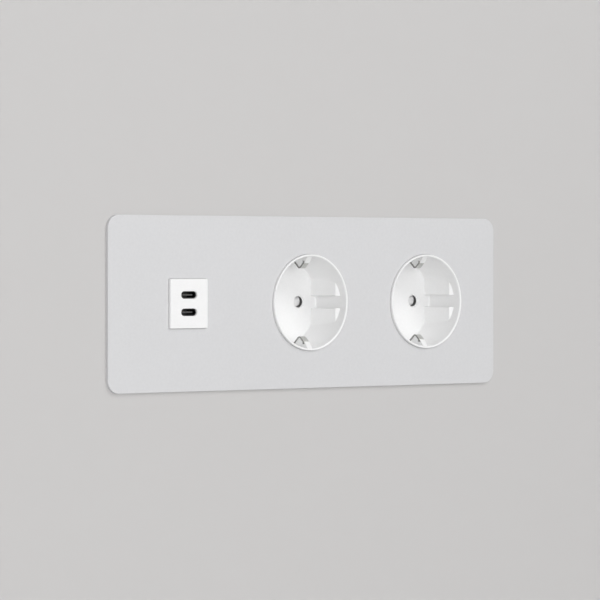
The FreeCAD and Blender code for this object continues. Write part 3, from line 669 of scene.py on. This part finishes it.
class WALLPLATE_OT_earth_straps(bpy.types.Operator):
    """Model the bent strips that make the earth clips at the top and bottom of each well"""

    bl_idname = "wallplate.earth_straps"
    bl_label = "Earth straps"

    def execute(self, context):
        tab_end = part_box("socket_one_earth_strap")[1].y
        across = Vector((-STRAP_HALF_WIDTH, 0, 0))
        middle = STRAP_SHEET / 2
        tail_y, face = clip_mouth_y() + middle, STRAP_FACE + middle
        mouth_z = CLIP_MOUTH_Z + middle / math.cos(CLIP_SLOPE) - middle * math.tan(CLIP_SLOPE)
        mouth, apex, knee = clip_corners(middle, mouth_z, face)
        top = [Vector((0, tail_y, CLIP_MOUTH_Z + CLIP_TAIL)), mouth, apex, knee, Vector((0, STRAP_LEVEL, face))]
        line = [point + across for point in top]
        line += [Vector((point.x, point.y, -point.z)) for point in line[::-1]]
        tight, wide = STRAP_BEND_R - middle, STRAP_BEND_R + middle
        cuts = [
            tight * math.tan((math.pi / 2 - CLIP_SLOPE) / 2), CLIP_APEX_R * math.tan(CLIP_SLOPE),
            wide * math.tan(CLIP_SLOPE / 2), wide,
        ]
        bends = zip(line[1:-1], cuts + cuts[::-1])
        strap = folded_strip("socket_one_clips", line, bends, -2 * across, STRAP_SHEET)
        low_corner = Vector((-STRAP_HALF_WIDTH, STRAP_LEVEL, TAB_LOW_Z))
        tab = box("tab", low_corner, Vector((STRAP_HALF_WIDTH, tab_end, TAB_HIGH_Z)))
        bevel_edges(tab, edge_within(lambda co: near(co.y, tab_end)), TAB_EDGE_R, steps=2)
        weld_on(strap, tab)
        check_made(strap)
        other = shifted_copy(strap, "socket_two_clips", (SOCKET_TWO_X, 0, 0))
        settle(strap, "nickel_strip", ["socket_one_earth_strap"])
        settle(other, "nickel_strip", ["socket_two_earth_strap"])
        return {"FINISHED"}


class WALLPLATE_OT_shutters(bpy.types.Operator):
    """Model the two-lobed shutters that show white through the pin holes"""

    bl_idname = "wallplate.shutters"
    bl_label = "Shutters"

    def hub(self):
        bore_r = POST_R + POST_PLAY
        profile = [
            (bore_r, SHUTTER_FRONT), (SHUTTER_HUB_R, SHUTTER_FRONT), (SHUTTER_HUB_R, SHUTTER_BACK),
            (bore_r, SHUTTER_BACK), (bore_r, SHUTTER_FRONT),
        ]
        return lathe("socket_one_rotor", profile, [(1, SHUTTER_EDGE_R), (2, SHUTTER_EDGE_R)], SMALL_ROUND_STEPS)

    def arm(self):
        low = Vector((ARM_ROOT_X, SHUTTER_FRONT + ARM_STEP, -ARM_HALF_WIDTH))
        arm = box("arm", low, Vector((PIN_X, SHUTTER_BACK, ARM_HALF_WIDTH)))

        def along_x(edge):
            return near(edge.verts[0].co.z, edge.verts[1].co.z) and not along_y(edge)

        bevel_edges(arm, along_x, ARM_EDGE_R, steps=2)
        return arm

    def lobe(self):
        """The round end that covers a pin hole, with the ramp that a pin pushes on."""
        profile = [
            (0.0, SHUTTER_FRONT), (SHUTTER_LOBE_R, SHUTTER_FRONT), (SHUTTER_LOBE_R, SHUTTER_BACK),
            (0.0, SHUTTER_BACK),
        ]
        lobe = lathe("lobe", profile, [(1, LOBE_EDGE_R), (2, SHUTTER_EDGE_R)], SMALL_ROUND_STEPS)
        move_all(lobe, (PIN_X, 0, 0))
        x, front = PIN_X - RAMP_HALF_LENGTH, SHUTTER_FRONT - RAMP_LIFT
        outline = [
            Vector((x, front, RAMP_START_Z)), Vector((x, front, RAMP_END_Z)),
            Vector((x, SHUTTER_FRONT + RAMP_DEPTH, RAMP_END_Z)),
        ]
        carve(lobe, prism("ramp", outline, Vector((2 * RAMP_HALF_LENGTH, 0, 0))))
        return lobe

    def execute(self, context):
        rotor = self.hub()
        arm = self.arm()
        weld_on(arm, self.lobe())
        far_arm = shifted_copy(arm, "far_arm", (0, 0, 0))
        turn_all(far_arm, math.pi)
        weld_on(rotor, arm, far_arm)
        turn_all(rotor, SHUTTER_REST)
        check_made(rotor)
        other = shifted_copy(rotor, "socket_two_rotor", (SOCKET_TWO_X, 0, 0))
        settle(rotor, "white_plastic", ["socket_one_shutter"], "socket_one_shutter")
        settle(other, "white_plastic", ["socket_two_shutter"], "socket_two_shutter")
        return {"FINISHED"}


class WALLPLATE_OT_usb_front(bpy.types.Operator):
    """Model the square face of the charging outlet on its round body"""

    bl_idname = "wallplate.usb_front"
    bl_label = "USB face"

    def execute(self, context):
        look = context.scene.plastic_look
        inner_r = INSERT_R - USB_WALL
        profile = [
            (0.0, SHOULDER), (INSERT_R, SHOULDER), (INSERT_R, USB_DRUM_BACK), (inner_r, USB_DRUM_BACK),
            (inner_r, SHOULDER + USB_WALL), (0.0, SHOULDER + USB_WALL),
        ]
        front = lathe("usb_front", profile, [(1, SHOULDER_EDGE_R), (2, USB_DRUM_EDGE_R)])
        weld_on(front, mirrored(snap_hook()))
        root = SHOULDER + USB_WALL / 3
        face = rounded_bar("face", USB_FACE_WIDTH, USB_FACE_HEIGHT, USB_CORNER_R, USB_FRONT, root, steps=5)
        bevel_edges(face, edge_within(lambda co: near(co.y, USB_FRONT)), look.face_edge_r)
        weld_on(front, face)
        inside = (USB_FACE_WIDTH - 2 * USB_WALL, USB_FACE_HEIGHT - 2 * USB_WALL)
        through_wall = USB_WALL + OVERRUN / 2
        ends = (USB_FRONT + USB_WALL, SHOULDER + through_wall)
        carve(front, rounded_bar("hollow", *inside, USB_CORNER_R, *ends, steps=3))
        ends = (USB_FRONT - OVERRUN, USB_FRONT + through_wall)
        for z in port_heights():
            carve(front, rounded_bar("opening", PORT_WIDTH, PORT_HEIGHT, PORT_HEIGHT / 2, *ends, z=z))

        def on_port(co):
            return near(co.y, USB_FRONT) and abs(co.x) < PORT_WIDTH / 2 + PORT_EDGE_R

        bevel_edges(front, edge_within(on_port), PORT_EDGE_R, steps=2)
        move_all(front, (USB_CENTRE.x, 0, 0))
        check_made(front)
        settle(front, "white_plastic", ["usb_bezel"])
        return {"FINISHED"}


class WALLPLATE_OT_ports(bpy.types.Operator):
    """Model the steel shells, the tongues and the contacts of the two USB-C ports"""

    bl_idname = "wallplate.ports"
    bl_label = "USB-C ports"

    def shell(self, name, low, high):
        size, middle = high - low, (low + high) / 2
        shell = rounded_bar(name, size.x, size.z, size.z / 2, low.y, high.y, middle.x, middle.z)
        with editing(shell):
            pick("faces", lambda face: abs(face.normal.y) > FACING)
            bpy.ops.mesh.delete(type="FACE")
        apply_modifier(shell, "SOLIDIFY", thickness=PORT_SHEET, offset=-1, use_even_offset=True)
        bevel_edges(shell, edge_within(lambda co: near(co.y, low.y)), PORT_SHEET_EDGE_R, steps=2)
        return shell

    def tongue(self, name, low, high):
        size, middle = high - low, (low + high) / 2
        root = rounded_bar(
            name, size.x, size.z, TONGUE_ROOT_CORNER_R, TONGUE_ROOT_FRONT, high.y, middle.x, middle.z, steps=5,
        )
        end = TONGUE_ROOT_FRONT + TONGUE_LAP
        blade = rounded_bar(
            "blade", TONGUE_WIDTH, TONGUE_SHEET, TONGUE_CORNER_R, low.y, end, middle.x, middle.z, steps=4,
        )
        bevel_edges(blade, edge_within(lambda co: near(co.y, low.y)), TONGUE_EDGE_R, steps=2)
        weld_on(root, blade)
        return root

    def contacts(self, name, low, high):
        """The row of thin contacts on each side of a tongue."""
        middle = (low + high) / 2
        first_x = middle.x - (CONTACTS - 1) / 2 * CONTACT_PITCH
        first = Vector((first_x, low.y + CONTACT_BACK, middle.z + TONGUE_SHEET / 2))
        low_corner = first - Vector((CONTACT_WIDTH / 2, 0, CONTACT_SUNK))
        contact = box(name, low_corner, first + Vector((CONTACT_WIDTH / 2, CONTACT_LENGTH, CONTACT_PROUD)))
        bevel_edges(contact, edge_within(lambda co: co.z > first.z), CONTACT_EDGE_R, steps=1)
        apply_modifier(
            contact, "ARRAY", count=CONTACTS, use_relative_offset=False, use_constant_offset=True,
            constant_offset_displace=(CONTACT_PITCH, 0, 0),
        )
        flipped = shifted_copy(contact, "flipped", (0, 0, 0))
        with editing(flipped):
            bpy.ops.mesh.select_all(action="SELECT")
            bpy.ops.transform.mirror(constraint_axis=(False, False, True), center_override=middle)
            bpy.ops.mesh.normals_make_consistent(inside=False)
        join([contact, flipped])
        return contact

    def execute(self, context):
        for place in ("upper", "lower"):
            shell = self.shell(f"usb_shell_{place}", *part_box(f"usb_port_{place}"))
            check_made(shell)
            settle(shell, "port_steel", [f"usb_port_{place}"])
            tongue_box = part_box(f"usb_tongue_{place}")
            tongue = self.tongue(f"usb_tongue_blade_{place}", *tongue_box)
            check_made(tongue)
            settle(tongue, "black_plastic", [f"usb_tongue_{place}"])
            contacts = self.contacts(f"usb_contacts_{place}", *tongue_box)
            check_made(contacts)
            settle(contacts, "contact_brass", [])
        return {"FINISHED"}


def new_group(name, inputs, outputs):
    """A shader node group with its sockets."""
    group = bpy.data.node_groups.new(name, "ShaderNodeTree")
    for label, kind, value in inputs:
        socket = group.interface.new_socket(label, in_out="INPUT", socket_type=kind)
        if value is not None:
            socket.default_value = value
    for label, kind in outputs:
        group.interface.new_socket(label, in_out="OUTPUT", socket_type=kind)
    return group, group.nodes.new("NodeGroupInput"), group.nodes.new("NodeGroupOutput")


def tone_group():
    """Slow and fine variation between two tones of a colour."""
    name = "Tone variation"
    if name in bpy.data.node_groups:
        return bpy.data.node_groups[name]
    inputs = [
        ("Vector", "NodeSocketVector", None), ("Colour", "NodeSocketColor", None),
        ("Second Colour", "NodeSocketColor", None), ("Scale", "NodeSocketFloat", 20.0),
        ("Fine Scale", "NodeSocketFloat", 900.0),
    ]
    group, start, end = new_group(name, inputs, [("Colour", "NodeSocketColor")])
    slow = group.nodes.new("ShaderNodeTexNoise")
    slow.inputs["Detail"].default_value = 3.0
    fine = group.nodes.new("ShaderNodeTexNoise")
    fine.inputs["Detail"].default_value = 1.0
    both = group.nodes.new("ShaderNodeMath")
    both.operation = "ADD"
    spread = group.nodes.new("ShaderNodeMapRange")
    spread.inputs["From Min"].default_value = 0.7
    spread.inputs["From Max"].default_value = 1.3
    mix = group.nodes.new("ShaderNodeMix")
    mix.data_type = "RGBA"
    for texture, scale in ((slow, "Scale"), (fine, "Fine Scale")):
        group.links.new(start.outputs["Vector"], texture.inputs["Vector"])
        group.links.new(start.outputs[scale], texture.inputs["Scale"])
    group.links.new(slow.outputs["Fac"], both.inputs[0])
    group.links.new(fine.outputs["Fac"], both.inputs[1])
    group.links.new(both.outputs[0], spread.inputs["Value"])
    group.links.new(spread.outputs["Result"], mix.inputs[0])
    group.links.new(start.outputs["Colour"], mix.inputs[MIX_FIRST])
    group.links.new(start.outputs["Second Colour"], mix.inputs[MIX_SECOND])
    group.links.new(mix.outputs[MIX_RESULT], end.inputs["Colour"])
    return group


def grain_group():
    """A fine surface grain, stretched along any axis, with the roughness that goes with it."""
    name = "Surface grain"
    if name in bpy.data.node_groups:
        return bpy.data.node_groups[name]
    inputs = [
        ("Vector", "NodeSocketVector", None), ("Stretch", "NodeSocketVector", (1, 1, 1)),
        ("Scale", "NodeSocketFloat", 2000.0), ("Roughness", "NodeSocketFloat", 0.4),
        ("Spread", "NodeSocketFloat", 0.1),
    ]
    outputs = [("Height", "NodeSocketFloat"), ("Roughness", "NodeSocketFloat")]
    group, start, end = new_group(name, inputs, outputs)
    stretch = group.nodes.new("ShaderNodeVectorMath")
    stretch.operation = "MULTIPLY"
    texture = group.nodes.new("ShaderNodeTexNoise")
    texture.inputs["Detail"].default_value = 2.5
    low = group.nodes.new("ShaderNodeMath")
    low.operation = "SUBTRACT"
    low.inputs[1].default_value = 0.5
    scaled = group.nodes.new("ShaderNodeMath")
    scaled.operation = "MULTIPLY_ADD"
    group.links.new(start.outputs["Vector"], stretch.inputs[0])
    group.links.new(start.outputs["Stretch"], stretch.inputs[1])
    group.links.new(stretch.outputs[0], texture.inputs["Vector"])
    group.links.new(start.outputs["Scale"], texture.inputs["Scale"])
    group.links.new(texture.outputs["Fac"], low.inputs[0])
    group.links.new(low.outputs[0], scaled.inputs[0])
    group.links.new(start.outputs["Spread"], scaled.inputs[1])
    group.links.new(start.outputs["Roughness"], scaled.inputs[2])
    group.links.new(texture.outputs["Fac"], end.inputs["Height"])
    group.links.new(scaled.outputs[0], end.inputs["Roughness"])
    return group


def place_group(tree, group, coords, **values):
    """A group in a material, with its values."""
    node = tree.nodes.new("ShaderNodeGroup")
    node.node_tree = group
    for label, value in values.items():
        node.inputs[label.replace("_", " ")].default_value = value
    tree.links.new(coords, node.inputs["Vector"])
    return node


def rgba(colour):
    """A colour with full alpha, as a socket takes it."""
    return (*tuple(colour)[:3], 1.0)


def shader_of(material):
    """A material's own Principled shader."""
    return next(node for node in material.node_tree.nodes if node.type == "BSDF_PRINCIPLED")


def shade(colour, share):
    """A colour made darker or lighter."""
    return tuple(channel * share for channel in tuple(colour)[:3])


def finish(
    slot, colour, second, *, tones, rough, spread, grain, bump, stretch=(1, 1, 1), metallic=0.0, specular=0.5,
):
    """One finish in place of the frame's plain one of that name: toned colour, grained roughness and fine bump.

    Tones is how many tone patches a metre has, rough the roughness and spread how far it strays, grain the size
    of the grain and bump its height.
    """
    bpy.data.materials.remove(bpy.data.materials[slot])
    material = bpy.data.materials.new(slot)
    material.use_nodes = True
    tree = material.node_tree
    shader = shader_of(material)
    shader.inputs["Metallic"].default_value = metallic
    shader.inputs["Specular IOR Level"].default_value = specular
    coords = tree.nodes.new("ShaderNodeTexCoord").outputs["Object"]
    tone = place_group(
        tree, tone_group(), coords,
        Colour=rgba(colour), Second_Colour=rgba(second), Scale=tones, Fine_Scale=0.4 / grain,
    )
    texture = place_group(
        tree, grain_group(), coords, Stretch=stretch, Scale=1.0 / grain, Roughness=rough, Spread=spread,
    )
    relief = tree.nodes.new("ShaderNodeBump")
    relief.inputs["Distance"].default_value = bump
    relief.inputs["Strength"].default_value = 1.0
    tree.links.new(tone.outputs["Colour"], shader.inputs["Base Color"])
    tree.links.new(texture.outputs["Roughness"], shader.inputs["Roughness"])
    tree.links.new(texture.outputs["Height"], relief.inputs["Height"])
    tree.links.new(relief.outputs["Normal"], shader.inputs["Normal"])
    return material


def darken_side_faces(material, colour):
    """A darker colour on the strip's faces to the left and right."""
    tree = material.node_tree
    shader = shader_of(material)
    rolled = shader.inputs["Base Color"].links[0].from_socket
    facing = tree.nodes.new("ShaderNodeSeparateXYZ")
    tree.links.new(tree.nodes.new("ShaderNodeTexCoord").outputs["Normal"], facing.inputs[0])
    sideways = tree.nodes.new("ShaderNodeMath")
    sideways.operation = "ABSOLUTE"
    side_share = tree.nodes.new("ShaderNodeMapRange")
    side_share.inputs["From Min"].default_value = 0.6
    side_share.inputs["From Max"].default_value = 0.9
    mix = tree.nodes.new("ShaderNodeMix")
    mix.data_type = "RGBA"
    mix.inputs[MIX_SECOND].default_value = rgba(colour)
    tree.links.new(facing.outputs["X"], sideways.inputs[0])
    tree.links.new(sideways.outputs[0], side_share.inputs["Value"])
    tree.links.new(side_share.outputs["Result"], mix.inputs[0])
    tree.links.new(rolled, mix.inputs[MIX_FIRST])
    tree.links.new(mix.outputs[MIX_RESULT], shader.inputs["Base Color"])


class WALLPLATE_OT_finishes(bpy.types.Operator):
    """Make the finish of every material slot and give it to the CAD nodes that name it"""

    bl_idname = "wallplate.finishes"
    bl_label = "Finishes"

    def paint(self, look):
        finish("plate_paint", look.colour, shade(look.colour, 0.965),
               tones=14, rough=0.6, spread=0.12, grain=look.grain, bump=6e-6, specular=0.25)

    def plastics(self, look):
        finish("white_plastic", look.colour, shade(look.colour, 0.975),
               tones=30, rough=0.32, spread=0.1, grain=0.4 * MM, bump=2e-6)
        finish("grey_housing", (0.25, 0.26, 0.27), (0.22, 0.225, 0.235),
               tones=60, rough=0.5, spread=0.15, grain=0.3 * MM, bump=1e-5)
        finish("key_plastic", (0.75, 0.21, 0.025), (0.66, 0.17, 0.02),
               tones=120, rough=0.4, spread=0.1, grain=0.25 * MM, bump=5e-6)
        finish("black_plastic", (0.07, 0.07, 0.072), (0.095, 0.095, 0.097),
               tones=200, rough=0.35, spread=0.1, grain=0.2 * MM, bump=5e-6)
        finish("terminal_plastic", (0.02, 0.16, 0.06), (0.016, 0.12, 0.05),
               tones=90, rough=0.42, spread=0.1, grain=0.3 * MM, bump=5e-6)
        finish("can_sleeve", (0.012, 0.015, 0.035), (0.02, 0.024, 0.05),
               tones=150, rough=0.3, spread=0.1, grain=0.2 * MM, bump=2e-6)

    def metals(self):
        rolled, drawn = ({"stretch": stretch, "metallic": 1.0} for stretch in ((1, 1, 0.06), (1, 0.1, 0.1)))
        finish("zinc_steel", (0.60, 0.62, 0.64), (0.48, 0.50, 0.53),
               tones=180, rough=0.36, spread=0.25, grain=0.4 * MM, bump=6e-6, **rolled)
        finish("spring_steel", (0.50, 0.51, 0.52), (0.42, 0.43, 0.45),
               tones=220, rough=0.3, spread=0.2, grain=0.3 * MM, bump=4e-6, **rolled)
        strip = finish("nickel_strip", (0.70, 0.70, 0.68), (0.62, 0.62, 0.60),
                       tones=200, rough=0.3, spread=0.15, grain=0.3 * MM, bump=3e-6, **drawn)
        # Darker colour on the strip's faces to the left and right
        darken_side_faces(strip, (0.38, 0.38, 0.37))
        finish("contact_brass", (0.80, 0.58, 0.25), (0.66, 0.46, 0.18),
               tones=180, rough=0.3, spread=0.15, grain=0.3 * MM, bump=3e-6, **rolled)
        finish("port_steel", (0.10, 0.10, 0.105), (0.07, 0.07, 0.075),
               tones=300, rough=0.35, spread=0.15, grain=0.2 * MM, bump=3e-6, stretch=(1, 0.1, 1), metallic=1.0)

    def boards(self):
        finish("board_green", (0.015, 0.11, 0.045), (0.03, 0.19, 0.08),
               tones=700, rough=0.3, spread=0.1, grain=0.2 * MM, bump=3e-6)
        finish("ferrite", (0.03, 0.03, 0.032), (0.06, 0.058, 0.055),
               tones=260, rough=0.6, spread=0.2, grain=0.2 * MM, bump=2e-5)

    def execute(self, context):
        self.paint(context.scene.plate_look)
        self.plastics(context.scene.plastic_look)
        self.metals()
        self.boards()
        for part in frame["record"]["subparts"]:
            materials = frame["nodes"][part["node"]].data.materials
            materials.clear()
            materials.append(bpy.data.materials[part["material_slot"]])
        return {"FINISHED"}


class WALLPLATE_OT_stage(bpy.types.Operator):
    """Set the camera, the lamps, the wall behind the plate and the floor"""

    bl_idname = "wallplate.stage"
    bl_label = "Stage"

    def camera(self, look):
        ahead = Vector((-math.sin(look.turn), math.cos(look.turn), 0))
        level = Vector((math.cos(look.turn), math.sin(look.turn), 0))
        forward = ahead * math.cos(look.tilt) - Vector((0, 0, math.sin(look.tilt)))
        upright = level.cross(forward)
        right = level * math.cos(look.roll) + upright * math.sin(look.roll)
        up = upright * math.cos(look.roll) - level * math.sin(look.roll)
        aim = Vector((0, WALL, 0)) - right * look.aim_right + up * look.aim_down
        data = bpy.data.cameras.new("camera")
        data.lens = look.lens
        data.sensor_width = SENSOR_MM
        data.clip_end = SIGHT_LIMIT
        camera = bpy.data.objects.new("camera", data)
        camera.matrix_world = Matrix((right, up, -forward)).transposed().to_4x4()
        camera.location = aim - forward * look.distance
        bpy.context.scene.collection.objects.link(camera)
        bpy.context.scene.camera = camera

    def lamp(self, name, watts, place, width, height):
        data = bpy.data.lights.new(name, "AREA")
        data.energy = watts
        data.shape = "RECTANGLE"
        data.size = width
        data.size_y = height
        lamp = bpy.data.objects.new(name, data)
        lamp.location = place
        lamp.rotation_mode = "QUATERNION"
        lamp.rotation_quaternion = (-Vector(place)).to_track_quat("-Z", "Y")
        bpy.context.scene.collection.objects.link(lamp)

    def world(self, look):
        world = bpy.data.worlds.new("studio")
        world.use_nodes = True
        tree = world.node_tree
        light = next(node for node in tree.nodes if node.type == "BACKGROUND")
        light.inputs["Color"].default_value = (1, 1, 1, 1)
        light.inputs["Strength"].default_value = look.sky
        shown = tree.nodes.new("ShaderNodeBackground")
        shown.inputs["Color"].default_value = BACKGROUND
        path = tree.nodes.new("ShaderNodeLightPath")
        mix = tree.nodes.new("ShaderNodeMixShader")
        output = next(node for node in tree.nodes if node.type == "OUTPUT_WORLD")
        seen = path.outputs["Is Camera Ray"]
        for ray in ("Is Glossy Ray", "Is Transmission Ray"):
            either = tree.nodes.new("ShaderNodeMath")
            either.operation = "MAXIMUM"
            tree.links.new(seen, either.inputs[0])
            tree.links.new(path.outputs[ray], either.inputs[1])
            seen = either.outputs[0]
        tree.links.new(seen, mix.inputs[0])
        tree.links.new(light.outputs[0], mix.inputs[1])
        tree.links.new(shown.outputs[0], mix.inputs[2])
        tree.links.new(mix.outputs[0], output.inputs["Surface"])
        bpy.context.scene.world = world

    def plane(self, name, place, rotation, size, material):
        plane = fresh(bpy.ops.mesh.primitive_plane_add, name, size=size, location=place, rotation=rotation)
        plane.data.materials.append(material)
        return plane

    def wall_material(self, look):
        """Pale matt wall that is clear from behind."""
        material = bpy.data.materials.new("wall")
        material.use_nodes = True
        tree = material.node_tree
        shader = shader_of(material)
        shader.inputs["Base Color"].default_value = rgba(look.wall_colour)
        shader.inputs["Roughness"].default_value = 0.9
        shader.inputs["Specular IOR Level"].default_value = 0.1
        clear = tree.nodes.new("ShaderNodeBsdfTransparent")
        side = tree.nodes.new("ShaderNodeNewGeometry")
        mix = tree.nodes.new("ShaderNodeMixShader")
        output = next(node for node in tree.nodes if node.type == "OUTPUT_MATERIAL")
        tree.links.new(side.outputs["Backfacing"], mix.inputs[0])
        tree.links.new(shader.outputs[0], mix.inputs[1])
        tree.links.new(clear.outputs[0], mix.inputs[2])
        tree.links.new(mix.outputs[0], output.inputs["Surface"])
        return material

    def floor_material(self, look):
        material = bpy.data.materials.new("floor")
        material.use_nodes = True
        shader = shader_of(material)
        shader.inputs["Base Color"].default_value = rgba(look.floor_colour)
        shader.inputs["Roughness"].default_value = 0.8
        return material

    def wall(self, look):
        """The backdrop, open behind the plate so that the sockets' backs show from behind."""
        wall = self.plane("wall", (0, WALL - WALL_SINK, 0), ALONG_Y, 1.0, self.wall_material(look))
        opening = (PLATE_HIGH - PLATE_LOW) - Vector((2, 0, 2)) * WALL_LAP
        with editing(wall, "VERT"):
            bpy.ops.mesh.select_all(action="SELECT")
            bpy.ops.transform.resize(value=(opening.x, 1, opening.z))
            bpy.ops.mesh.bevel(offset=PLATE_CORNER_R - WALL_LAP, segments=8, affect="VERTICES")
            bpy.ops.mesh.select_mode(type="EDGE")
            bpy.ops.mesh.select_all(action="SELECT")
            bpy.ops.mesh.extrude_edges_move()
            bpy.ops.transform.resize(value=WALL_GROWTH)
            pick("faces", lambda face: len(face.verts) > 4)
            bpy.ops.mesh.delete(type="FACE")

    def execute(self, context):
        look = context.scene.stage_look
        context.scene.view_settings.view_transform = "Standard"
        self.camera(look)
        self.world(look)
        for name, shape in LAMPS.items():
            self.lamp(name, getattr(look, f"{name}_power"), *shape)
        self.wall(look)
        self.plane("floor", (0, 0, -look.floor_drop), (0, 0, 0), FLOOR_SPAN, self.floor_material(look))
        return {"FINISHED"}


class WALLPLATE_PT_panel(bpy.types.Panel):
    """Lists the steps in the sidebar"""

    bl_idname = "WALLPLATE_PT_panel"
    bl_label = "Wall plate"
    bl_space_type = "VIEW_3D"
    bl_region_type = "UI"
    bl_category = "Wall plate"

    def draw(self, context):
        for look in (context.scene.plate_look, context.scene.plastic_look, context.scene.stage_look):
            for name in look.__annotations__:
                self.layout.prop(look, name)
        for step in STEPS:
            self.layout.operator(step.bl_idname)


LOOKS = {"plate_look": PlateLook, "plastic_look": PlasticLook, "stage_look": StageLook}
STEPS = (
    WALLPLATE_OT_stage, WALLPLATE_OT_finishes, WALLPLATE_OT_plate, WALLPLATE_OT_inserts,
    WALLPLATE_OT_earth_straps, WALLPLATE_OT_shutters, WALLPLATE_OT_usb_front, WALLPLATE_OT_ports,
)


def register():
    for kind in (*LOOKS.values(), *STEPS, WALLPLATE_PT_panel):
        bpy.utils.register_class(kind)
    for name, kind in LOOKS.items():
        setattr(bpy.types.Scene, name, PointerProperty(type=kind))


def unregister():
    for name in LOOKS:
        delattr(bpy.types.Scene, name)
    for kind in reversed((*LOOKS.values(), *STEPS, WALLPLATE_PT_panel)):
        bpy.utils.unregister_class(kind)


def main():
    register()
    bpy.ops.wallplate.stage()
    bpy.ops.wallplate.finishes()
    bpy.ops.wallplate.plate()
    bpy.ops.wallplate.inserts()
    bpy.ops.wallplate.earth_straps()
    bpy.ops.wallplate.shutters()
    bpy.ops.wallplate.usb_front()
    bpy.ops.wallplate.ports()


if __name__ == "__main__":
    main()
